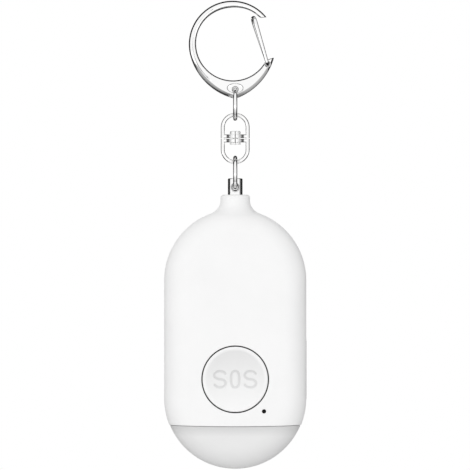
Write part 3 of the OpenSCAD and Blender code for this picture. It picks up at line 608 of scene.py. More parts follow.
# %% Posts, wells and the sound grille
SOUND_R = 0.75
SOUND_LIP = 0.12
SOUND_PITCH = 2.6
WELL_R = 1.85
WELL_LIP = 0.15
HEAD_H = 1.2
POST_R = 2.7
POST_GAP = 0.25
cloth_low, cloth_high = box_mm("grille_cloth")
SOUND_Z = (cloth_low[2] + cloth_high[2]) / 2
sounder_low, sounder_high = box_mm("sounder_case")
POST_REACH = (sounder_high[2] - sounder_low[2]) / 2 + POST_GAP + POST_R
WELL_FLOOR = box_mm("shell_screws")[1][1] - HEAD_H


def round_sound(reach, turn_deg):
    """Places at a reach and a bearing from the middle of the grille."""
    turn = np.radians(turn_deg)
    return columns(AXIS_X + reach * np.cos(turn), 0, SOUND_Z + reach * np.sin(turn))


post_spots = round_sound(POST_REACH, [60, 120, -30, 210])
ring_of = np.repeat([0, 1, 2], [1, 6, 12])
sound_spots = round_sound(ring_of * SOUND_PITCH, np.concatenate([[0], np.arange(6) * 60, np.arange(12) * 30]))
post = [(0, SEAM), (POST_R, SEAM), (POST_R, HALF_T - WALL / 2), (0, HALF_T - WALL / 2)]
join(rear, *[turned(post, "y", spot, 64) for spot in post_spots])
well = eased_hole(WELL_R, WELL_LIP, HALF_T, WELL_FLOOR)
sound = eased_hole(SOUND_R, SOUND_LIP, HALF_T, HALF_T - 2 * WALL)
wells = [turned(well, "y", spot, 64) for spot in post_spots]
holes = [turned(sound, "y", spot, 40) for spot in sound_spots]
cut(rear, *wells, *holes)
print("rear shell cut", len(rear.data.polygons), "holes", len(holes), "wells", len(wells))

# %% [markdown]
# The charging port is closed by a flap of grey silicone on the right side. A rounded outline carried through
# a few depths gives both the flap and the tool that sinks its pocket into the two shells, so they always fit.
# Behind the pocket a mouth leads to the socket.

# %% The port's pocket
COVER_HALF_L = 9.0
COVER_HALF_W = 2.8
COVER_T = 1.0
COVER_GAP = 0.15
CORNERS = np.array([0.35, 1.4])
MOUTH_HALF = (4.82, 1.95)
ALMOST = 0.001
PORT_X = AXIS_X + HALF_W
PORT_Z = box_mm("port_cover")[1][2] - COVER_HALF_L
BEHIND_X = PORT_X - COVER_T


def outline(half_l, half_w, corner_r, inset=0.0, count=200):
    """A rounded rectangle as height and depth: four arcs whose centres stay put as the inset grows, sampled
    at even steps along the whole line."""
    upper, lower = corner_r
    corners = [(1, 1, 0, upper), (-1, 1, 90, lower), (-1, -1, 180, lower), (1, -1, 270, upper)]
    line = [arc((a * (half_l - r), b * (half_w - r)), r - inset, d, d + 90, 10) for a, b, d, r in corners]
    line = np.concatenate(line + [line[0][:1]])
    along = np.concatenate([[0], np.cumsum(np.hypot(*np.diff(line, axis=0).T))])
    even = np.linspace(0, along[-1], count, endpoint=False)
    return columns(np.interp(even, along, line[:, 0]), np.interp(even, along, line[:, 1]))


def plate(half_l, half_w, corner_r, levels):
    """A plate that faces right. Each level is an inset and a depth, as a number or as a function of the
    height; the first and the last level close on the middle line."""
    def row(up, deep, depth):
        """A line of the plate, at a depth that may change with the height."""
        return columns(depth(up) if callable(depth) else depth, deep, PORT_Z + up)

    rows = [row(*outline(half_l, half_w, corner_r, inset).T, depth) for inset, depth in levels]
    middle = np.clip(outline(half_l, half_w, corner_r)[:, 0], half_w - half_l, half_l - half_w)
    first, last = (row(middle, 0, depth) for _, depth in (levels[0], levels[-1]))
    return np.stack([first, *rows, last]), "cols"


def round_ended(half_l, half_w):
    """Sizes of a plate whose ends are as good as half circles."""
    return half_l, half_w, (half_w - ALMOST, half_w - ALMOST)


grown = (COVER_HALF_L + COVER_GAP, COVER_HALF_W + COVER_GAP, CORNERS + COVER_GAP)
pocket = plate(*grown, [(0, BEHIND_X - COVER_GAP), (0, PORT_X + PAST)])
mouth = plate(*round_ended(*MOUTH_HALF), [(0, PORT_X - 3 * WALL), (0, BEHIND_X)])
for shell in (front, rear):
    cut(shell, pocket)
    cut(shell, mouth)
print("port cut into both shells", len(front.data.polygons), len(rear.data.polygons))

# %% [markdown]
# The flap swings on its top edge, so that edge is rounded to a half circle about the hinge. Below it the face
# is raised to a low pad for a fingertip, with an eased rim. A plug on the back holds the flap in the mouth.
# A box with a Bevel modifier would come close, but levels at chosen depths give every edge its own round.

# %% The flap
HINGE_R = COVER_T / 2
HINGE_UP = COVER_HALF_L - HINGE_R
PAD_UP = 0.06
PAD_START = 1.2
PAD_SLOPE = 0.4
BACK_EASE = 0.12
FACE_EASE = [(0, 0.3), (0.06, 0.1), (0.16, 0.03), (0.3, 0)]
PLUG_HALF = (4.32, 1.4)
PLUG_IN = 1.1
PLUG_EASE = 0.25
PLUG_ROOT = 0.3


def smooth_step(value, low, high):
    """A ramp from 0 to 1 that starts and ends gently."""
    share = np.clip((value - low) / (high - low), 0, 1)
    return share * share * (3 - 2 * share)


def hinge_round(up):
    """Half the flap's thickness, by height: level, with a half circle round the hinge at the top."""
    past = np.clip((up - HINGE_UP) / HINGE_R, 0, 1)
    return HINGE_R * np.sqrt(np.maximum(1 - past ** 2, 0))


def flap_face(ease):
    """Depth of the outer face, by height: the pad rises below the hinge, and an ease draws the face in."""
    def depth(up):
        """The hinge's round, the pad on it and the ease, added up."""
        pad = PAD_UP * smooth_step(COVER_HALF_L - PAD_START - up, 0, PAD_SLOPE)
        return PORT_X - HINGE_R + hinge_round(up) + pad - ease

    return depth


def flap_back(ease):
    """Depth of the inner face, by height, drawn out by an ease."""
    return lambda up: PORT_X - HINGE_R - hinge_round(up) + ease


levels = [(BACK_EASE, flap_back(0)), (0, flap_back(BACK_EASE))]
levels += [(inset, flap_face(ease)) for inset, ease in FACE_EASE]
flap = build("port_flap", plate(COVER_HALF_L, COVER_HALF_W, CORNERS, levels))
plug_end = BEHIND_X - PLUG_IN
plug_levels = [(PLUG_EASE, plug_end), (0, plug_end + PLUG_EASE), (0, BEHIND_X + PLUG_ROOT)]
join(flap, plate(*round_ended(*PLUG_HALF), plug_levels))
dress(flap, "port_cover", cover_silicone)
dress(rear, "rear_shell", shell_white)

# %% [markdown]
# The lower end is a frosted lens over the strobe light. It is a little smaller than the shells, so it sits
# back by a step, and a lip reaches up inside them. Half a squashed sphere would be close, but it would miss
# the rolled edge. The lens follows the same skin as the shells, drawn in a little, so the two always match.

# %% The frosted lens
LENS_GAP = 0.12
LIP_IN = WALL + LENS_GAP
LIP_WALL = 1.0
LIP_TOP = LENS_Z + 2.0
LIP_EASE = 0.2
SEAM_Z = LENS_Z - LENS_GAP
NEAR_POLE = -89.6


def lens_dome(inset, top, steps):
    """Heights from a level down to the lowest point, at even steps round the dome."""
    radius = HALF_W - inset
    return dome(-dome_deg(LOWER_Z - top, radius), NEAR_POLE, steps, radius, LOWER_Z)


def lens_rows(heights, insets):
    """Rows of the lens at heights and insets, lowered near the seam as the shells are."""
    bearing, height = around[None, :], np.asarray(heights, float)[:, None]
    return skin(bearing, height + seam_dip(bearing, height), np.broadcast_to(insets, len(heights))[:, None])


def pole(inset):
    """A last row that closes a dome: the lowest point, once for each bearing."""
    return np.broadcast_to([AXIS_X, 0, LOWER_Z - HALF_W + inset], (1, len(around), 3))


INNER_IN = LIP_IN + LIP_WALL
lip = [
    (LIP_TOP, LIP_IN + LIP_EASE), (LIP_TOP - LIP_EASE, LIP_IN), (SEAM_Z, LIP_IN), (SEAM_Z, LENS_STEP + EASE),
    (SEAM_Z - EASE / 3, LENS_STEP + EASE / 3),
]
lip_rows = lens_rows(*np.array(lip).T)
outer_rows = lens_rows(lens_dome(LENS_STEP, SEAM_Z - EASE, 46), LENS_STEP)
inner_rows = lens_rows(lens_dome(INNER_IN, LIP_TOP, 24), INNER_IN)
outside = np.concatenate([lip_rows, outer_rows, pole(LENS_STEP)])
inside = np.concatenate([lip_rows[:1], inner_rows, pole(INNER_IN)])
lens = build("light_lens_cap", (outside, "cols"), (inside, "cols"))
print("lens wall", round(INNER_IN - LENS_STEP, 2), "mm")

# %% [markdown]
# Frosted plastic scatters the light that falls on it, and a fine grain blurs what it mirrors. Just under the
# seam the lip behind shades it. Real scattering inside the wall would be slow and noisy here, so that shade
# is painted, as a gradient of two greys along the height.

# %% The lens's finish
SEAM_SHADE_GREY = grey(0.62)
CLEAR_GREY = grey(0.8)
SEAM_SHADE_BAND = 3.2
FROST_MM = 0.16
FROST_DEPTH = 0.004
FROST_GLOSS = (0.42, 0.6)


def frosted(name):
    """Frosted plastic: painted shade in a band under the seam clears downwards, and fine grain frosts it."""
    finish, nodes, links = new_finish(name)
    shader = nodes["Principled BSDF"]
    height = place_along(nodes, links, "Z")
    # Painted shade: darker in a band just under the seam, where the lip behind shades the lens.
    below = remap(nodes, links, height, 1, 0, (LENS_Z - SEAM_SHADE_BAND) * MM, LENS_Z * MM)
    links.new(tint(nodes, links, below, SEAM_SHADE_GREY, CLEAR_GREY), shader.inputs["Base Color"])
    frost = noise(nodes, links, FROST_MM)
    links.new(remap(nodes, links, frost, *FROST_GLOSS), shader.inputs["Roughness"])
    links.new(relief(nodes, links, frost, FROST_DEPTH), shader.inputs["Normal"])
    shader.inputs["Specular IOR Level"].default_value = SATIN
    return finish


dress(lens, "light_lens", frosted("frosted_lens_finish"))

# %% [markdown]
# The button's mark is the plain distress call, pressed into its dish. A decal would vanish from the mesh, so
# the grid itself sinks where a point is close to a letter's middle line. Each letter is a line made from
# arcs, and the depth follows the distance to it.

# %% The letters as lines
LETTER_H = 5.27
LETTER_W = 3.9
ROUND_W = 3.0
STROKE = 0.72
LETTER_GAP = 0.8
S_ENDS = (22, 270)
O_POWER = 0.75
MARK_FADE = (STROKE / 2 - 0.2, STROKE / 2 + 0.12)


def letter_s():
    """Two bowls that run on from each other through the middle: part of an ellipse, and the same turned half
    round."""
    half_w, half_h = (LETTER_W - STROKE) / 2, (LETTER_H - STROKE) / 4
    upper = arc((0, 0), 1, *S_ENDS, 26) * (half_w, half_h) + (0, half_h)
    return np.concatenate([upper, -upper[-2::-1]])


def letter_o():
    """A narrow ring, squarer than an ellipse: the powers of sine and cosine are below one."""
    circle = arc((0, 0), 1, 0, 360, 60)
    squared = np.sign(circle) * np.abs(circle) ** O_POWER
    return squared * ((ROUND_W - STROKE) / 2, (LETTER_H - STROKE) / 2)


letter_shift = ROUND_W / 2 + LETTER_GAP + LETTER_W / 2
MARK = [letter_s() - (letter_shift, 0), letter_o(), letter_s() + (letter_shift, 0)]


def mark_depth(across, up):
    """How deep the mark is, from 0 to 1: full along the letters' lines, fading past half a stroke."""
    spot = columns(across, up)[:, None]
    nearest = np.full(len(spot), np.inf)
    for line in MARK:
        start, run = line[:-1], np.diff(line, axis=0)
        share = np.clip(((spot - start) * run).sum(-1) / (run ** 2).sum(-1), 0, 1)[..., None]
        nearest = np.minimum(nearest, np.linalg.norm(spot - start - share * run, axis=-1).min(axis=1))
    return 1 - smooth_step(nearest, *MARK_FADE)


print("mark", len(MARK), "letters", round(2 * letter_shift + LETTER_W, 2), "mm wide")

# %% [markdown]
# The button is a dished disc with a rounded rim, and a flange behind the shell keeps it from falling out. It
# is turned as one profile, where a cylinder would need its dish cut and its rim bevelled. The dish is part
# of a ball, and its grid is fine enough to take the mark.

# %% The button
BUTTON_R = 9.18
BUTTON_RIM = 1.0
BUTTON_DEEP = 2.7
FLANGE_T = 0.8
DISH_DEPTH = 1.15
DISH_STEPS = 120
DISH_IN = 0.1
MARK_DEPTH = 0.16
RIM_ROUNDS = (0.32, 0.05, 0.1, 0.1)
RIM_Y = button_low[1]
FLANGE_R = (button_high[2] - button_low[2]) / 2
FLANGE_REAR = RIM_Y + BUTTON_DEEP
FLANGE_FRONT = FLANGE_REAR - FLANGE_T
dish_edge = BUTTON_R - BUTTON_RIM
dish_ball = (dish_edge ** 2 + DISH_DEPTH ** 2) / (2 * DISH_DEPTH)
dish_r = np.linspace(0, dish_edge - DISH_IN, DISH_STEPS)
dish_y = RIM_Y + DISH_DEPTH - (dish_ball - np.sqrt(dish_ball ** 2 - dish_r ** 2))
rim_corners = [
    (dish_edge, RIM_Y), (BUTTON_R, RIM_Y), (BUTTON_R, FLANGE_FRONT), (FLANGE_R, FLANGE_FRONT),
    (FLANGE_R, FLANGE_REAR), (0, FLANGE_REAR),
]
button_line = np.concatenate([columns(dish_r, dish_y), rounded_line(rim_corners, RIM_ROUNDS)])
button_grid, button_loops = turned(button_line, "y", (AXIS_X, 0, BUTTON_Z), 420)
dished = button_grid[:DISH_STEPS].reshape(-1, 3)
pressed = mark_depth(dished[:, 0] - AXIS_X, dished[:, 2] - BUTTON_Z)
button_grid[:DISH_STEPS, :, 1] += MARK_DEPTH * pressed.reshape(DISH_STEPS, -1)
button = build("sos_button_cap", (button_grid, button_loops))
print("button", 2 * BUTTON_R, "mm across, mark pressed", MARK_DEPTH, "mm deep")

# %% [markdown]
# A finish can follow the shape if the mesh carries a number for each point. These helpers store such numbers
# as an attribute, and make a copy of a finish that is drawn towards a painted shade where the numbers are
# high.
# An image could do it too, but the piece would have to be unwrapped first.

# %% Numbers on the mesh
def point_array(piece):
    """A piece's points, in millimetres."""
    flat = np.zeros(3 * len(piece.data.vertices), np.float32)
    piece.data.vertices.foreach_get("co", flat)
    return flat.reshape(-1, 3) / MM


def keep_values(piece, name, values):
    """Stores one number for each point of a piece, for its finish to read."""
    attribute = piece.data.attributes.new(name, "FLOAT", "POINT")
    attribute.data.foreach_set("value", values.astype(np.float32))


def copy_reading(name, base, attribute):
    """A copy of a finish, with its nodes, its links, its shader and the numbers of an attribute."""
    finish = base.copy()
    finish.name = name
    nodes, links = finish.node_tree.nodes, finish.node_tree.links
    value = nodes.new("ShaderNodeAttribute")
    value.attribute_name = attribute
    return finish, nodes, links, nodes["Principled BSDF"], value.outputs["Fac"]


def tinted_by(name, base, attribute, painted_shade):
    """A copy of a finish whose colour is drawn towards a painted shade where the attribute is high."""
    finish, nodes, links, shader, value = copy_reading(name, base, attribute)
    low, high, out = colour_mix(nodes, links, value)
    links.new(shader.inputs["Base Color"].links[0].from_socket, low)
    high.default_value = (*painted_shade, 1)
    links.new(out, shader.inputs["Base Color"])
    return finish


print("the button has", len(point_array(button)), "points to carry numbers")

# %% [markdown]
# Pressed letters look a shade greyer than the face round them, because light that enters the groove is partly
# lost; that shade is painted into their colour. The dish gets painted shade too, most at its top, where it
# faces down. Painted shade also darkens the gap round the button, on the button and on the shell alike.

# %% The button's finish
MARK_SHADE = 0.17
DISH_SHADE = 0.078
DISH_LEAN = 1.0
DISH_FADE = (dish_edge - 0.2, dish_edge + 0.3)
FACE_DEEP = RIM_Y + DISH_DEPTH + MARK_DEPTH + 0.1
GAP_REACH = (BUTTON_R - 0.02, max(BUTTON_HOLE_R, FLANGE_R) + 0.01)
GAP_FADE = (0.03, 0.2)
PAINTED_SHADE_GREY = grey(0.06)


def off_button(spots):
    """How far points lie from the button's middle line."""
    return np.hypot(spots[:, 0] - AXIS_X, spots[:, 2] - BUTTON_Z)


def gap_depth(spots):
    """How deep a point lies in the gap round the button, from 0 at the face to 1 a little below it."""
    off = off_button(spots)
    near = (off > GAP_REACH[0]) & (off < GAP_REACH[1])
    return near * smooth_step(spots[:, 1] + HALF_T, *GAP_FADE)


spots = point_array(button)
on_face = spots[:, 1] < FACE_DEEP
# Painted shade: in the letters, over the dish, most at its top, and down the gap round the button.
mark = on_face * mark_depth(spots[:, 0] - AXIS_X, spots[:, 2] - BUTTON_Z)
in_dish = on_face * (1 - smooth_step(off_button(spots), *DISH_FADE))
dish_shade = DISH_SHADE * (1 + DISH_LEAN * (spots[:, 2] - BUTTON_Z) / dish_edge)
keep_values(button, "painted_shade", np.maximum(MARK_SHADE * mark + dish_shade * in_dish, gap_depth(spots)))
# Painted shade down the shell's side of the gap round the button.
keep_values(front, "painted_shade", gap_depth(point_array(front)))
dress(button, "sos_button", tinted_by("button_white", shell_white, "painted_shade", PAINTED_SHADE_GREY))
dress(front, "front_shell", tinted_by("front_white", shell_white, "painted_shade", PAINTED_SHADE_GREY))

# %% [markdown]
# Beside the button a smoked light pipe ends in a small dome, just below the face. It is one turned profile,
# a quarter ellipse and a straight side; a sphere would have to be cut and squashed.

# %% The indicator
DOT_R = 0.55
DOT_REAR = -5.6
DOME_UP = 0.09
DOME_SUNK = 0.02
dome_line = arc((0, 0), 1, 90, 0, 10) * (DOT_R, -DOME_UP) + (0, dot_low[1] + DOME_SUNK)
dot_line = np.concatenate([dome_line, [(DOT_R, DOT_REAR), (0, DOT_REAR)]])
dot = build("indicator_dome", turned(dot_line, "y", DOT, 48))
dress(dot, "indicator_lens", smoked_plastic)

# %% [markdown]
# The hook is a flat zinc casting. Seen from the front it is a ring that grows into a pointed foot: its outer
# line is a circle, and two wider circles touch it and meet at the foot. Sweeping a section round the loop,
# rather than cutting a plate, lets the edges roll off as a cast edge does.

# %% The hook's outline
LOOP_R = 10.4
RIM_R = 12.3
RIM_C = np.array([-0.2, -0.25])
FLANK_R = 17.2
FOOT_Z = LOOP_R + 5.2
FOOT_BLEND = 0.3
foot = np.array([AXIS_X, -FOOT_Z])
foot_way = unit(foot - RIM_C)
foot_side = np.array([-foot_way[1], foot_way[0]])
to_foot = np.linalg.norm(foot - RIM_C)
flank_in = FLANK_R - RIM_R
flank_along = (flank_in ** 2 - FLANK_R ** 2 + to_foot ** 2) / (2 * to_foot)
flank_across = math.sqrt(flank_in ** 2 - flank_along ** 2)
FLANKS = [RIM_C + flank_along * foot_way + side * flank_across * foot_side for side in (1, -1)]
touches = [RIM_C + RIM_R * (RIM_C - centre) / flank_in for centre in FLANKS]
touch_deg = sorted(math.degrees(math.atan2(spot[1], spot[0])) % 360 for spot in touches)


def circle_reach(centre, radius, deg):
    """How far out a circle lies along a bearing from the loop's middle."""
    along = columns(np.cos(np.radians(deg)), np.sin(np.radians(deg))) @ centre
    return along + np.sqrt(along ** 2 + radius ** 2 - centre @ centre)


def hook_reach(deg):
    """The outer line: the circle, or below its two touching points the nearer flank. Where the flanks meet, a
    parabola rounds the corner."""
    turn = np.mod(deg, 360)
    left, right = (circle_reach(centre, FLANK_R, deg) for centre in FLANKS)
    blend = np.maximum(FOOT_BLEND - np.abs(left - right), 0) ** 2 / (4 * FOOT_BLEND)
    in_foot = (turn > touch_deg[0]) & (turn < touch_deg[1])
    return np.where(in_foot, np.minimum(left, right) - blend, circle_reach(RIM_C, RIM_R, deg))


print("foot from", [round(deg) for deg in touch_deg], "degrees")

# %% [markdown]
# The section is flat front and back. Its inner edge has a small round and its outer edge a longer roll, which
# turns into a plain bevel round the foot. On the left a fine raised bead follows the roll. These rounds are
# what shows as dark lines, since they mirror what lies behind. A Bevel modifier would give every edge the
# same round.

# %% The hook's section
HOOK_T = 2.8
INNER_ROUND = (0.7, 1.1)
INNER_FULLER = 0.6
OUTER_ROLL = (0.76, 1.35)
ROLL_WIDER = 0.7
FOOT_FROM = (0.05, 0.4)
FOOT_ROLL = (33, 44)
RIGHT_STEEPER = 4
BEAD_IN = 1.1
BEAD_OFF_ROLL = 0.15
BEAD_HALF = 0.12
BEAD_MOST = 0.18
BEAD_UP = 0.18
FACE_MARGIN = 0.3
quarter_turn = np.radians(np.linspace(0, 90, 11))
even_turn = quarter_turn / quarter_turn[-1]


def hook_section(width, low, leftward, bead_on, fuller):
    """The section as reach past the loop and depth: inner round, face with its bead, outer roll, and back.
    The rolls are quarter ellipses; towards the foot the outer one becomes part of a circle, which meets the
    face at a break."""
    in_r, in_d = INNER_ROUND[0] + INNER_FULLER * fuller, INNER_ROUND[1] + INNER_FULLER * fuller
    out_r = OUTER_ROLL[0] + ROLL_WIDER * low * leftward
    footed = smooth_step(low, *FOOT_FROM)
    steeper = RIGHT_STEEPER * (1 - leftward)
    first = np.radians((FOOT_ROLL[0] + steeper) * footed)
    last = np.radians(90 + (FOOT_ROLL[1] + steeper - 90) * footed)
    tilt = first + (last - first) * even_turn
    span, drop = np.sin(last) - np.sin(first), np.cos(first) - np.cos(last)
    out_d = OUTER_ROLL[1] * (1 - footed) + out_r * drop / span * footed
    across = (np.sin(tilt) - np.sin(first)) / span
    deep = (np.cos(first) - np.cos(tilt)) / drop
    inner = columns(in_r * (1 - np.cos(quarter_turn)), in_d * (1 - np.sin(quarter_turn)))
    roll = columns(width - out_r * (1 - across), out_d * deep)
    face_w = width - out_r - in_r
    bead = (width - np.maximum(BEAD_IN, out_r + BEAD_OFF_ROLL) - in_r) / face_w
    bead = np.clip(bead, FACE_MARGIN, 1 - FACE_MARGIN)
    part = np.minimum(BEAD_HALF / face_w, BEAD_MOST)
    before, after = FACE_MARGIN * bead, 1 - FACE_MARGIN * (1 - bead)
    share = np.concatenate([before, bead - part, bead, bead + part, after], axis=1)[..., None]
    face = inner[:, -1:] * (1 - share) + roll[:, :1] * share
    face[:, 2, 1] -= BEAD_UP * bead_on
    front_half = np.concatenate([inner, face, roll], axis=1)
    front_half[..., 1] -= HOOK_T / 2
    return np.concatenate([front_half, front_half[:, ::-1] * (1, -1)], axis=1)


print("section of", 2 * (2 * len(quarter_turn) + 5), "points")

# %% [markdown]
# The section goes round the loop from the tip that holds the gate to the nose that the gate rests on. Both
# ends are cut at a slant, so the inner and the outer line stop at different bearings. At the top the ring is
# a little fuller. Rows that shrink as a quarter circle then ease the two ends.

# %% The hook
HOOK_ROWS = 300
INNER_ENDS = (-29, -314.5)
OUTER_ENDS = (-20.5, -320.5)
BEAD_BAND = ((112, 130), (228, 245))
TOP_FULLER = 0.36
FULLER_BAND = ((45, 95), (95, 175))
END_TURN = np.radians([30, 55, 75, 88])[:, None, None]
END_OUT = 0.45
END_SHRINK = 0.4


def band(value, rise, fall):
    """A ramp from 0 to 1 over the first range, and back to 0 over the second."""
    return smooth_step(value, *rise) * (1 - smooth_step(value, *fall))


def eased_end(row, way):
    """Rows past an end that shrink as a quarter circle, so the end is rounded off."""
    middle = row.mean(axis=0)
    shrunk = 1 - END_SHRINK * (1 - np.cos(END_TURN))
    return middle + (row - middle) * shrunk + END_OUT * way * np.sin(END_TURN)


in_deg, out_deg = np.linspace(*INNER_ENDS, HOOK_ROWS)[:, None], np.linspace(*OUTER_ENDS, HOOK_ROWS)[:, None]
turn, out_turn = np.mod(out_deg, 360), np.radians(out_deg)
width = hook_reach(out_deg[:, 0])[:, None] - LOOP_R
low = np.maximum(0, -np.sin(out_turn)) ** 2
leftward = (1 - np.cos(out_turn)) / 2
fuller = TOP_FULLER * band(turn, *FULLER_BAND)
section = hook_section(width + fuller, low, leftward, band(turn, *BEAD_BAND)[:, 0], fuller)
past_loop = section[..., 0] - fuller
lean = np.radians(in_deg + (out_deg - in_deg) * past_loop / width)
far = LOOP_R + past_loop
rows = columns(far * np.cos(lean), section[..., 1], far * np.sin(lean))
tip = eased_end(rows[0], unit((rows[0] - rows[1]).mean(axis=0)))
nose = eased_end(rows[-1], unit((rows[-1] - rows[-2]).mean(axis=0)))
hook = build("snap_hook_cast", (np.concatenate([tip[::-1], rows, nose]), "cols"))
print("hook", len(hook.data.polygons), "faces")

# %% [markdown]
# Three tools finish the hook's shape: the flared eye that lets a ring swing through it, a shallow dimple
# round the eye on both faces, and the hole where the gate's ends sit, with a countersunk mouth. Each tool is
# a turned profile, because a drill turns too; the dimple's is then squashed to an ellipse.

# %% The hook's eye and pivot
RING_R = 4.2
RING_WIRE_R = 0.6
THROAT_R = 0.72
SWING_GAP = 0.12
FLARE_PAST = 0.5
EYE_UP = 2.65
EYE = np.array([AXIS_X, EYE_UP - FOOT_Z])
GATE_PIVOT = np.array([9.729, 0, -5.846])
PIVOT_R = 0.51
PIVOT_DEEP = 0.7
SUNK_R = 1.01
SUNK_DEEP = 1.6
DIMPLE_HALF = (2.35, 1.38)
DIMPLE_UP = 0.35
DIMPLE_EDGE = 0.94
HOOK_SHARP = math.radians(18)


def flared(depth):
    """Profile of a hole front to back, narrow in the middle and wide enough at its mouths for a ring that
    curves through it."""
    rise = math.sqrt(RING_R ** 2 - (depth / 2) ** 2)
    mouth = RING_R - rise + RING_WIRE_R * RING_R / rise + SWING_GAP
    deep = np.linspace(-depth / 2 - FLARE_PAST, depth / 2 + FLARE_PAST, 61)
    wide = THROAT_R + (mouth - THROAT_R) * np.abs(deep) / (depth / 2)
    return np.concatenate([[(0, deep[0])], columns(wide, deep), [(0, deep[-1])]])


dimple = [(0, 0.2), (0.5, 0.19), (0.88, 0.16), (DIMPLE_EDGE, 0.12), (1, 0), (1.2, -0.4), (0, -0.4)]
dimple_grid = turned(dimple, "y", (0, 0, 0), 72)[0] * (DIMPLE_HALF[0], 1, DIMPLE_HALF[1])
dimple_at = [(EYE[0], side * HOOK_T / 2, EYE[1] + DIMPLE_UP) for side in (-1, 1)]
sunk = [
    (0, -SUNK_DEEP), (SUNK_R, -SUNK_DEEP), (PIVOT_R, -PIVOT_DEEP),
    (PIVOT_R, PIVOT_DEEP), (SUNK_R, SUNK_DEEP), (0, SUNK_DEEP),
]
cut(hook, (dimple_grid + dimple_at[0], "cols"), (dimple_grid * (1, -1, 1) + dimple_at[1], "cols"))
cut(hook, turned(flared(HOOK_T), "y", (EYE[0], 0, EYE[1]), 72))
cut(hook, turned(sunk, "y", GATE_PIVOT, 48))
hook.data.set_sharp_from_angle(angle=HOOK_SHARP)
print("hook with eye and pivot", len(hook.data.polygons), "faces")

# %% [markdown]
# Plating hardly reaches into a drilled hole, so the holes are matt and less metallic. Shade is painted along
# the dimple's edge, on the bevelled foot and on the inner round at the top, which are all darker than the
# bright face. Numbers on the mesh tell the finish where.

# %% The hook's finish
DRILLED_ROUGH = 0.85
DRILLED_METAL = 0.1
EYE_REACH = 1.3
EYE_RIM = 0.28
PIVOT_REACH = 0.86
DIMPLE_FADE = (0.01, 0.04)
ROLL_BELOW = 0.02
FOOT_SHADE = 0.5
FOOT_FADE = (13.2, 14.8)
TOP_SHADE = 0.6
TOP_FADE = (5.0, 9.5)
INNER_FADE = (LOOP_R, LOOP_R + 0.5)


def roughened_by(name, base, attribute, rough, metal):
    """A copy of a finish whose roughness and metal are drawn towards two levels where the attribute is
    high."""
    finish, nodes, links, shader, value = copy_reading(name, base, attribute)
    mix = nodes.new("ShaderNodeMix")
    links.new(value, mix.inputs[0])
    links.new(shader.inputs["Roughness"].links[0].from_socket, mix.inputs[2])
    mix.inputs[3].default_value = rough
    links.new(mix.outputs[0], shader.inputs["Roughness"])
    links.new(remap(nodes, links, value, 1, metal), shader.inputs["Metallic"])
    return finish


def in_hole(spots, centre_z, reach, depth):
    """One for points inside a hole front to back, and zero on its rim and outside."""
    near = np.hypot(spots[:, 0] - AXIS_X, spots[:, 2] - centre_z) < reach
    return (near & (np.abs(spots[:, 1]) < depth)).astype(float)


def off_pivot(spots):
    """How far points lie from the line that the gate turns on."""
    return np.hypot(spots[:, 0] - GATE_PIVOT[0], spots[:, 2] - GATE_PIVOT[2])


spots = point_array(hook)
in_eye = in_hole(spots, EYE[1], EYE_REACH, HOOK_T / 2 - EYE_RIM)
keep_values(hook, "drilled", np.maximum(in_eye, off_pivot(spots) < PIVOT_REACH))
to_eye = (spots[:, ::2] - EYE - (0, DIMPLE_UP)) / DIMPLE_HALF
off_eye = np.hypot(to_eye[:, 0], to_eye[:, 1])
# Painted shade along the dimple's edge, on the bevelled foot and on the inner round at the top.
dimple_line = 1 - smooth_step(np.abs(off_eye - DIMPLE_EDGE), *DIMPLE_FADE)
on_roll = (np.abs(spots[:, 1]) < HOOK_T / 2 - ROLL_BELOW) & (off_eye > 1)
foot_shade = FOOT_SHADE * on_roll * smooth_step(-spots[:, 2], *FOOT_FADE)
inward = 1 - smooth_step(np.hypot(spots[:, 0], spots[:, 2]), *INNER_FADE)
top_shade = TOP_SHADE * inward * smooth_step(spots[:, 2], *TOP_FADE)
keep_values(hook, "painted_shade", np.maximum(dimple_line, np.maximum(foot_shade, top_shade)))
hook_plate = roughened_by("cast_plate_drilled", cast_plate, "drilled", DRILLED_ROUGH, DRILLED_METAL)
dress(hook, "snap_hook", tinted_by("cast_plate_painted_shade", hook_plate, "painted_shade", grey(0.2)))

# %% [markdown]
# The gate is one length of spring wire, bent to a long loop. Its two ends turn inwards into the pivot hole
# and its closed end rests on the nose. The wire is wider across than through, and the rear leg stands half a
# millimetre aside of the front one. A round wire along the bent line comes first, and formulas then widen
# and shift it, which a curve with a bevel could not.

# %% The gate
GATE_R = 0.45
GATE_HALF = 2.0
GATE_BEND = 0.75
GATE_END = 0.4
GATE_SHORT = 0.6
GATE_FLAT = 0.22
GATE_TWIST = 0.5
FLAT_FROM = (0.8, 2.5)
TWIST_FROM = (0.8, 3.0)
GATE_TIP = np.array([5.76, 0, 7.93])
gate_up = unit(GATE_TIP - GATE_PIVOT)
gate_side = np.cross(gate_up, (0, 1, 0))
gate_l = np.linalg.norm(GATE_TIP - GATE_PIVOT) - GATE_SHORT
leg_l = gate_l - GATE_HALF
leg = rounded_line([(0, GATE_END), (0, GATE_HALF), (leg_l, GATE_HALF)], GATE_BEND, 12)
nose_bend = arc((leg_l, 0), GATE_HALF, 90, -90, 40)[1:-1]
gate_line = np.concatenate([leg, nose_bend, leg[::-1] * (1, -1)])
gate_path = GATE_PIVOT + gate_line[:, :1] * gate_up + gate_line[:, 1:] * (0, 1, 0)
gate_grid, gate_loops = wire(gate_path, GATE_R, gate_side, 28)
along = (gate_grid - GATE_PIVOT) @ gate_up
flatter = GATE_FLAT * smooth_step(along, *FLAT_FROM) * ((gate_grid - GATE_PIVOT) @ gate_side)
rearward = smooth_step(gate_grid[..., 1], -GATE_HALF, GATE_HALF)
twist = GATE_TWIST * rearward * smooth_step(along, *TWIST_FROM)
gate_grid += (flatter + twist)[..., None] * gate_side
gate = build("gate_wire", (gate_grid, gate_loops))
print("gate", round(gate_l, 2), "mm long")
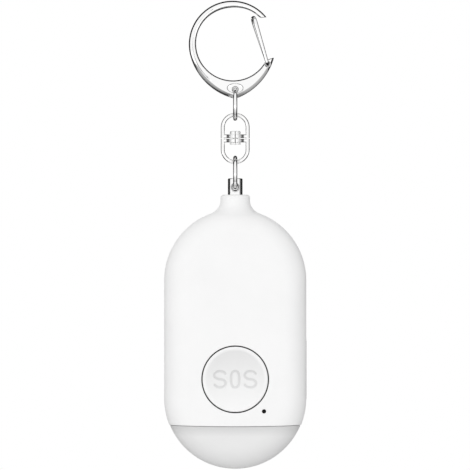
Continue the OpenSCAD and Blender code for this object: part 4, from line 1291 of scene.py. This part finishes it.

# %% [markdown]
# The wire is bright, but painted shade darkens it in two places: where its ends go into the pivot hole, and
# on the rear leg close to the nose, which lies in shade. Both are numbers on the mesh again.

# %% The gate's finish
PIVOT_FADE = (0.4, 0.6)
LEG_SHADE = 0.5
LEG_FADE = (gate_l - 3.3, gate_l - 2.9)
REAR_FADE = (-0.8, 0.2)
spots = point_array(gate)
# Painted shade at the pivot hole and on the rear leg near the nose.
in_pivot = 1 - smooth_step(off_pivot(spots), *PIVOT_FADE)
at_nose = smooth_step((spots - GATE_PIVOT) @ gate_up, *LEG_FADE)
leg_end = LEG_SHADE * at_nose * smooth_step(spots[:, 1], *REAR_FADE)
keep_values(gate, "painted_shade", np.maximum(in_pivot, leg_end))
dress(gate, "hook_gate", tinted_by("spring_plate_painted_shade", spring_plate, "painted_shade", grey(0.03)))

# %% [markdown]
# Two jump rings link the chain. Each is a wire bent to a circle and closed at a fine cut, left a little open.
# A torus would be quicker, but it has no cut. The sides of the wire carry painted shade, so they are darker
# than its front.

# %% The jump rings
CUT_HALF = 0.04
RING_SHADE = 0.7
RING_FADE = (0.35, 0.8)
ring_plate = tinted_by("ring_plate", drawn_plate, "painted_shade", grey(0.12))


def jump_ring(name, centre_z, cut_deg):
    """A wire round a circle that stands across the view, with a gap of a few hundredths at its cut."""
    part = math.degrees(CUT_HALF / RING_R)
    line = arc((0, centre_z), RING_R, cut_deg + part, cut_deg + 360 - part, 150)
    path = columns(AXIS_X, line[:, 0], line[:, 1])
    ring = build(name, wire(path, RING_WIRE_R, (1, 0, 0)))
    # Painted shade on the wire's sides.
    aside = np.abs(point_array(ring)[:, 0] - AXIS_X) / RING_WIRE_R
    keep_values(ring, "painted_shade", RING_SHADE * smooth_step(aside, *RING_FADE))
    return ring


for node, cut_deg in (("upper_ring", 12), ("lower_ring", -14)):
    ring_low, ring_high = box_mm(node)
    ring = jump_ring(node + "_wire", (ring_low[2] + ring_high[2]) / 2, cut_deg)
    dress(ring, node, ring_plate)

# %% [markdown]
# The swivel has two like halves, back to back. A bent wire makes the loop, a bar closes it, and a boss on
# the bar is bored for the rivet. A fine groove runs down each boss. The parts could be left to overlap, but
# joined they make one closed solid, as the real half is one piece.

# %% The swivel
SWIVEL_WIRE_R = 0.55
SWIVEL_BEND = 3.5
ARCH_UP = 3.15
HALF_GAP = 0.075
BAR_R = 0.5
BAR_UP = 0.625
BOSS_R = 1.7
BOSS_H = 1.1
BOSS_ROUND = 0.2
RIVET_BORE = 0.81
BORE_END = 3
GROOVE_R = 0.1
GROOVE_PAST = 0.3
SWIVEL_Z = box_mm("swivel_upper_loop")[0][2] - HALF_GAP


def groove(radius, low, high):
    """A thin upright wire that cuts a groove into the front of a round piece."""
    return wire([(AXIS_X, -radius, low), (AXIS_X, -radius, high)], GROOVE_R, (1, 0, 0), 12)


def swivel_half(name, way):
    """The loop's wire, its bar and its boss, joined, bored and grooved; the way is up or down."""
    bend = arc((0, ARCH_UP), SWIVEL_BEND, 0, 180, 48)
    loop = np.concatenate([[(SWIVEL_BEND, HALF_GAP)], bend, [(-SWIVEL_BEND, HALF_GAP)]])
    path = columns(AXIS_X + loop[:, 0], 0, SWIVEL_Z + way * loop[:, 1])
    half = build(name, wire(path, SWIVEL_WIRE_R, (0, 1, 0)))
    span = np.linspace(-SWIVEL_BEND, SWIVEL_BEND, 60)
    bar = np.concatenate([[(0, span[0])], columns(BAR_R, span), [(0, span[-1])]])
    join(half, turned(bar, "x", (AXIS_X, 0, SWIVEL_Z + way * BAR_UP), 32))
    foot, top = sorted((way * HALF_GAP, way * (HALF_GAP + BOSS_H)))
    boss = rounded_line([(0, foot), (BOSS_R, foot), (BOSS_R, top), (0, top)], BOSS_ROUND, 5)
    join(half, turned(boss, "z", (AXIS_X, 0, SWIVEL_Z), 72))
    bore = [(0, -BORE_END), (RIVET_BORE, -BORE_END), (RIVET_BORE, BORE_END), (0, BORE_END)]
    cut(half, turned(bore, "z", (AXIS_X, 0, SWIVEL_Z), 48))
    cut(half, groove(BOSS_R, SWIVEL_Z + foot - GROOVE_PAST, SWIVEL_Z + top + GROOVE_PAST))
    return half


swivel = {
    "swivel_upper_loop": swivel_half("swivel_upper_loop_wire", 1),
    "swivel_lower_loop": swivel_half("swivel_lower_loop_wire", -1),
}
print("swivel halves meet at", round(SWIVEL_Z, 2))

# %% [markdown]
# One finish serves both halves and the rivet. The bosses are tumbled, so there it is rougher and less
# metallic. On the short necks of the bar and in the groove, shade is painted dark. Three materials could do
# it too, but they would meet at a hard line.

# %% The swivel's finish
TUMBLED_ROUGH = 0.4
TUMBLED_METAL = 0.5
BOSS_FADE = (BOSS_R, BOSS_R + 0.05)
NECK_BAND = ((BOSS_R - 0.1, BOSS_R + 0.05), (2.3, 2.6))
NECK_FADE = (1.0, 1.3)
GROOVE_FRONT = -1.3
tumbled_plate = roughened_by("tumbled_plate", drawn_plate, "tumbled", TUMBLED_ROUGH, TUMBLED_METAL)
shaded_plate = tinted_by("shaded_plate", tumbled_plate, "painted_shade", grey(0.12))


def in_groove(spots):
    """One for points in a groove at the front."""
    middle = np.abs(spots[:, 0] - AXIS_X) < GROOVE_R + 0.01
    return (middle & (spots[:, 1] < GROOVE_FRONT)).astype(float)


for node, half in swivel.items():
    spots = point_array(half)
    out, up = np.abs(spots[:, 0] - AXIS_X), np.abs(spots[:, 2] - SWIVEL_Z)
    # Painted shade on the bar's necks and in the groove.
    neck = band(out, *NECK_BAND) * (1 - smooth_step(up, *NECK_FADE))
    keep_values(half, "painted_shade", np.maximum(neck, in_groove(spots)))
    keep_values(half, "tumbled", 1 - smooth_step(out, *BOSS_FADE))
    dress(half, node, shaded_plate)

# %% [markdown]
# A rivet joins the two halves and lets them turn. It has a rounded head above and a spread foot below, and is
# as dull as the bosses. One turned profile gives all of it.

# %% The rivet
RIVET_R = 0.75
RIVET_HEAD_R = 1.5
HEAD_ROUND = 0.3
SPREAD_H = 0.5
SPREAD_ROUND = 0.15
HEAD_PAST = 0.2
rivet_low, rivet_high = box_mm("swivel_rivet")
RIVET_FOOT, RIVET_TOP = rivet_low[2], rivet_high[2]
HEAD_UP = SWIVEL_Z + HALF_GAP + BOSS_H
spread_corners = [
    (0, RIVET_FOOT), (RIVET_HEAD_R, RIVET_FOOT), (RIVET_HEAD_R, RIVET_FOOT + SPREAD_H),
    (RIVET_R, RIVET_FOOT + SPREAD_H),
]
spread = rounded_line(spread_corners, SPREAD_ROUND, 5)
head = rounded_line([(RIVET_HEAD_R, HEAD_UP), (RIVET_HEAD_R, RIVET_TOP), (0, RIVET_TOP)], HEAD_ROUND, 6)
rivet_line = np.concatenate([spread, [(RIVET_R, HEAD_UP)], head])
rivet = build("rivet_turned", turned(rivet_line, "z", (AXIS_X, 0, 0), 72))
cut(rivet, groove(RIVET_HEAD_R, HEAD_UP - HEAD_PAST, RIVET_TOP + HEAD_PAST))
keep_values(rivet, "tumbled", np.ones(len(rivet.data.vertices)))
# Painted shade in the groove down the head.
keep_values(rivet, "painted_shade", in_groove(point_array(rivet)))
dress(rivet, "swivel_rivet", shaded_plate)

# %% [markdown]
# The pull pin is turned from bar, with an eased top and a thin tip that works the contacts inside the body.
# Two bevelled cylinders would do, but one profile makes a single solid of them. A flared hole takes the lower
# ring. The hole is matt, as the hook's are, and painted shade darkens it deep below the ring.

# %% The pull pin
PIN_R = 2.1
PIN_TIP_R = 1.5
PIN_TIP_H = 3.6
PIN_ROUNDS = (0.3, 0.1, 0.2, 0.28)
PIN_EYE_REACH = 1.6
PIN_SKIN = 0.03
SPOT_DEEP = (0.8, 1.3)
SPOT_ASIDE = (0.35, 0.6)
SPOT_BELOW = (0.35, 0.75)
pin_low, pin_high = box_mm("pull_pin")
PIN_FOOT, PIN_TOP = pin_low[2], pin_high[2]
SHOULDER = PIN_FOOT + PIN_TIP_H
PIN_EYE_Z = box_mm("lower_ring")[0][2] + RING_WIRE_R
pin_corners = [
    (0, PIN_FOOT), (PIN_TIP_R, PIN_FOOT), (PIN_TIP_R, SHOULDER), (PIN_R, SHOULDER), (PIN_R, PIN_TOP),
    (0, PIN_TOP),
]
pin = build("pull_pin_turned", turned(rounded_line(pin_corners, PIN_ROUNDS, 6), "z", (AXIS_X, 0, 0), 128))
cut(pin, turned(flared(2 * PIN_R), "y", (AXIS_X, 0, PIN_EYE_Z), 72))
spots = point_array(pin)
aside, deep = np.abs(spots[:, 0] - AXIS_X), np.abs(spots[:, 1])
under_eye = PIN_EYE_Z - spots[:, 2]
under_skin = np.hypot(spots[:, 0] - AXIS_X, spots[:, 1]) < PIN_R - PIN_SKIN
in_eye = in_hole(spots, PIN_EYE_Z, PIN_EYE_REACH, PIN_R) * under_skin
# Painted shade deep in the hole below the ring.
dark_spot = (1 - smooth_step(deep, *SPOT_DEEP)) * (1 - smooth_step(aside, *SPOT_ASIDE))
dark_spot *= smooth_step(under_eye, *SPOT_BELOW)
keep_values(pin, "drilled", in_eye)
keep_values(pin, "painted_shade", in_eye * dark_spot)
pin_plate = roughened_by("turned_plate_drilled", turned_plate, "drilled", DRILLED_ROUGH, DRILLED_METAL)
dress(pin, "pull_pin", tinted_by("turned_plate_painted_shade", pin_plate, "painted_shade", grey(0.01)))

# %% [markdown]
# Inside the case the CAD meshes stay as they are and only get a finish. They show through the sound holes
# and when the flap or the pin moves. Grain and gloss tell a board from foil, foam or cloth. Each row gives a
# node, its finish, two colours, a range of gloss, the grain's size and depth, the drift's size, and how
# metallic it is.

# %% Finishes for the parts inside
BOARD_GREENS = ((0.01, 0.09, 0.035), (0.014, 0.12, 0.05))
INSIDE = [
    ("shell_screws", "screw_steel", grey(0.5), grey(0.6), (0.25, 0.4), 0.2, 0.003, 2, 1),
    ("pin_bush", "bush_brass", (0.6, 0.42, 0.16), (0.68, 0.5, 0.22), (0.2, 0.35), 0.3, 0.003, 2, 1),
    ("pin_contacts", "contact_bronze", (0.6, 0.45, 0.28), (0.68, 0.52, 0.33), (0.2, 0.3), 0.3, 0.002, 2, 1),
    ("circuit_board", "board_green", BOARD_GREENS[0], BOARD_GREENS[1], (0.3, 0.45), 0.25, 0.004, 3, 0),
    ("button_switch", "switch_black", grey(0.02), grey(0.03), (0.4, 0.5), 0.2, 0.003, 2, 0),
    ("status_led", "led_clear", grey(0.62), grey(0.7), (0.1, 0.2), 0.3, 0.001, 1, 0),
    ("boost_coil", "coil_ferrite", grey(0.03), grey(0.05), (0.5, 0.65), 0.15, 0.006, 2, 0),
    ("board_chips", "chip_epoxy", grey(0.012), grey(0.02), (0.5, 0.6), 0.08, 0.003, 2, 0),
    ("usb_socket", "socket_steel", grey(0.55), grey(0.65), (0.2, 0.32), 0.4, 0.002, 3, 1),
    ("battery", "cell_foil", grey(0.5), grey(0.58), (0.28, 0.45), 1.2, 0.02, 5, 1),
    ("battery_pad", "pad_foam", grey(0.04), grey(0.07), (0.85, 0.95), 0.35, 0.06, 2, 0),
    ("sounder_case", "sounder_black", grey(0.015), grey(0.024), (0.4, 0.55), 0.12, 0.004, 4, 0),
    ("piezo_disc", "disc_brass", (0.62, 0.44, 0.18), (0.7, 0.52, 0.24), (0.22, 0.36), 0.3, 0.003, 4, 1),
    ("grille_cloth", "weave_black", grey(0.012), grey(0.05), (0.8, 0.92), 0.22, 0.05, 0.4, 0),
]
LIKE = {
    "led_board": "circuit_board", "switch_stem": "button_switch", "strobe_leds": "status_led",
    "battery_tabs": "usb_socket", "sounder_pins": "usb_socket", "sounder_gasket": "battery_pad",
}
finishes = {node: grained(*numbers, Metallic=metal) for node, *numbers, metal in INSIDE}
finishes.update({node: finishes[other] for node, other in LIKE.items()})
for node, finish in finishes.items():
    kept = frame["nodes"][node]
    kept.data.materials.clear()
    kept.data.materials.append(finish)
print("finishes inside", len(finishes))

# %% [markdown]
# The studio is white all round, like a light tent. What the camera, mirrors and glass see of it is white; the
# light that it sheds is lower, so that pale plastic keeps its shades. Light Path tells the two apart.

# %% The room
ROOM_LIGHT = 0.66
scene = bpy.context.scene
scene.view_settings.view_transform = "Standard"


def maths(nodes, links, operation, first, second):
    """Two values put together by a named operation."""
    node = nodes.new("ShaderNodeMath")
    node.operation = operation
    links.new(first, node.inputs[0])
    links.new(second, node.inputs[1])
    return node.outputs["Value"]


def seen_white(nodes, links):
    """One for rays from the camera, from mirrors and through glass, and zero for light that falls on a
    piece."""
    ray = nodes.new("ShaderNodeLightPath").outputs
    seen = maths(nodes, links, "MAXIMUM", ray["Is Camera Ray"], ray["Is Glossy Ray"])
    return maths(nodes, links, "MAXIMUM", seen, ray["Is Transmission Ray"])


room = bpy.data.worlds.new("room")
room.use_nodes = True
scene.world = room
nodes, links = room.node_tree.nodes, room.node_tree.links
background = nodes["Background"].inputs
background["Color"].default_value = (1, 1, 1, 1)
links.new(remap(nodes, links, seen_white(nodes, links), ROOM_LIGHT, 1), background["Strength"])
print("room light", ROOM_LIGHT)

# %% [markdown]
# Two large soft boxes shape the body: a key in front, from the upper left, and a weaker fill from behind that
# lights the back. Mirrors don't see them, or they would leave square glints on the metal.

# %% The lamps
LAMP_SIZE = 0.9
MIDDLE = np.array([0.0, 0.0, -0.054])


def lamp(name, power, place):
    """A square soft box that faces the object; mirrors and the camera don't see it."""
    light = bpy.data.lights.new(name, "AREA")
    light.size = LAMP_SIZE
    light.energy = power
    box = bpy.data.objects.new(name, light)
    box.location = place
    box.rotation_euler = Vector(MIDDLE - np.array(place)).to_track_quat("-Z", "Y").to_euler()
    box.visible_camera = False
    box.visible_glossy = False
    scene.collection.objects.link(box)
    return box


key = lamp("key_lamp", 4.7, (-0.14, -1.0, 0.26))
fill = lamp("fill_lamp", 2.2, (-0.45, 0.9, 0.3))
print("lamps", key.data.energy, fill.data.energy)

# %% [markdown]
# Bright metal needs something dark to mirror, or it would vanish into the white. Cards that only mirrors see
# draw its edges. They are parts of a sphere round the object. The one behind leaves its middle open, so that
# flat faces seen from the back mirror the white room.

# %% The cards
CARD_R = 0.22


def card(name, off_axis, bearings, levels):
    """Part of a sphere, from angles off the line of sight and bearings round it; its glow runs from one level
    at the first angle to the other at the last."""
    off = np.radians(np.linspace(*off_axis, 16))[:, None]
    turn = np.radians(np.linspace(*bearings, 48))[None, :]
    way = columns(np.sin(off) * np.cos(turn), -np.cos(off), np.sin(off) * np.sin(turn))
    piece = build(name, ((MIDDLE + CARD_R * way) / MM, ""), close=False)
    finish, nodes, links = new_finish(name + "_finish")
    nodes.clear()
    glow, out = nodes.new("ShaderNodeEmission"), nodes.new("ShaderNodeOutputMaterial")
    ends = -CARD_R * np.cos(np.radians(off_axis))
    links.new(remap(nodes, links, place_along(nodes, links, "Y"), *levels, *ends), glow.inputs["Strength"])
    links.new(glow.outputs["Emission"], out.inputs["Surface"])
    piece.data.materials.append(finish)
    piece.visible_camera = False
    piece.visible_diffuse = False
    piece.visible_shadow = False
    piece.visible_transmission = False
    return piece


behind = card("card_behind", (85, 157), (0, 360), (0.03, 0.02))
below = card("card_below", (28, 90), (-165, -15), (0.95, 0.2))
right = card("card_right", (66, 90), (-15, 50), (0.7, 0.3))
print("cards", behind.name, below.name, right.name)

# %% [markdown]
# A floor below stands for the table top. The view is level and close, so the floor stays out of the picture,
# but it fills the views from above and takes the shadow there. Far off it glows white, so that its edge melts
# into the room.

# %% The floor
FLOOR_R = 2.1
FLOOR_Z = -0.3
FLOOR_GREYS = (grey(0.8), grey(0.82))
FLOOR_CLOUD_MM = 120
FLOOR_ROUGH = 0.9
GLOW = (0.3, 1.0)
GLOW_REACH = (0.4, 2.0)
disc = columns(np.linspace(0, FLOOR_R / MM, 4), 0)
floor = build("floor", turned(disc, "z", (0, 0, FLOOR_Z / MM)), close=False)
floor_finish, nodes, links = new_finish("floor_white")
shader = nodes["Principled BSDF"]
clouds = noise(nodes, links, FLOOR_CLOUD_MM)
links.new(tint(nodes, links, clouds, *FLOOR_GREYS), shader.inputs["Base Color"])
shader.inputs["Roughness"].default_value = FLOOR_ROUGH
shader.inputs["Emission Color"].default_value = (1, 1, 1, 1)
far_off = nodes.new("ShaderNodeVectorMath")
far_off.operation = "LENGTH"
links.new(nodes.new("ShaderNodeTexCoord").outputs["Object"], far_off.inputs[0])
fade = remap(nodes, links, far_off.outputs["Value"], *GLOW, *GLOW_REACH)
glow = maths(nodes, links, "MULTIPLY", seen_white(nodes, links), fade)
links.new(glow, shader.inputs["Emission Strength"])
floor.data.materials.append(floor_finish)
print("floor at", FLOOR_Z, "m")

# %% [markdown]
# The camera stands three metres in front, level with the object's middle. Nearer, with a shorter lens, it
# would show near things larger; the long lens keeps sizes almost the same at every depth.

# %% The camera
SENSOR_MM = 36
LENS_MM = 815.7
CAMERA_AT = (0.00054, -3.0, -0.05395)
view = bpy.data.cameras.new("photo_view")
view.sensor_width = SENSOR_MM
view.lens = LENS_MM
camera = bpy.data.objects.new("photo_view", view)
camera.location = CAMERA_AT
camera.rotation_euler = (math.radians(90), 0, 0)
scene.collection.objects.link(camera)
scene.camera = camera
print("camera lens", round(view.lens, 1), "mm")
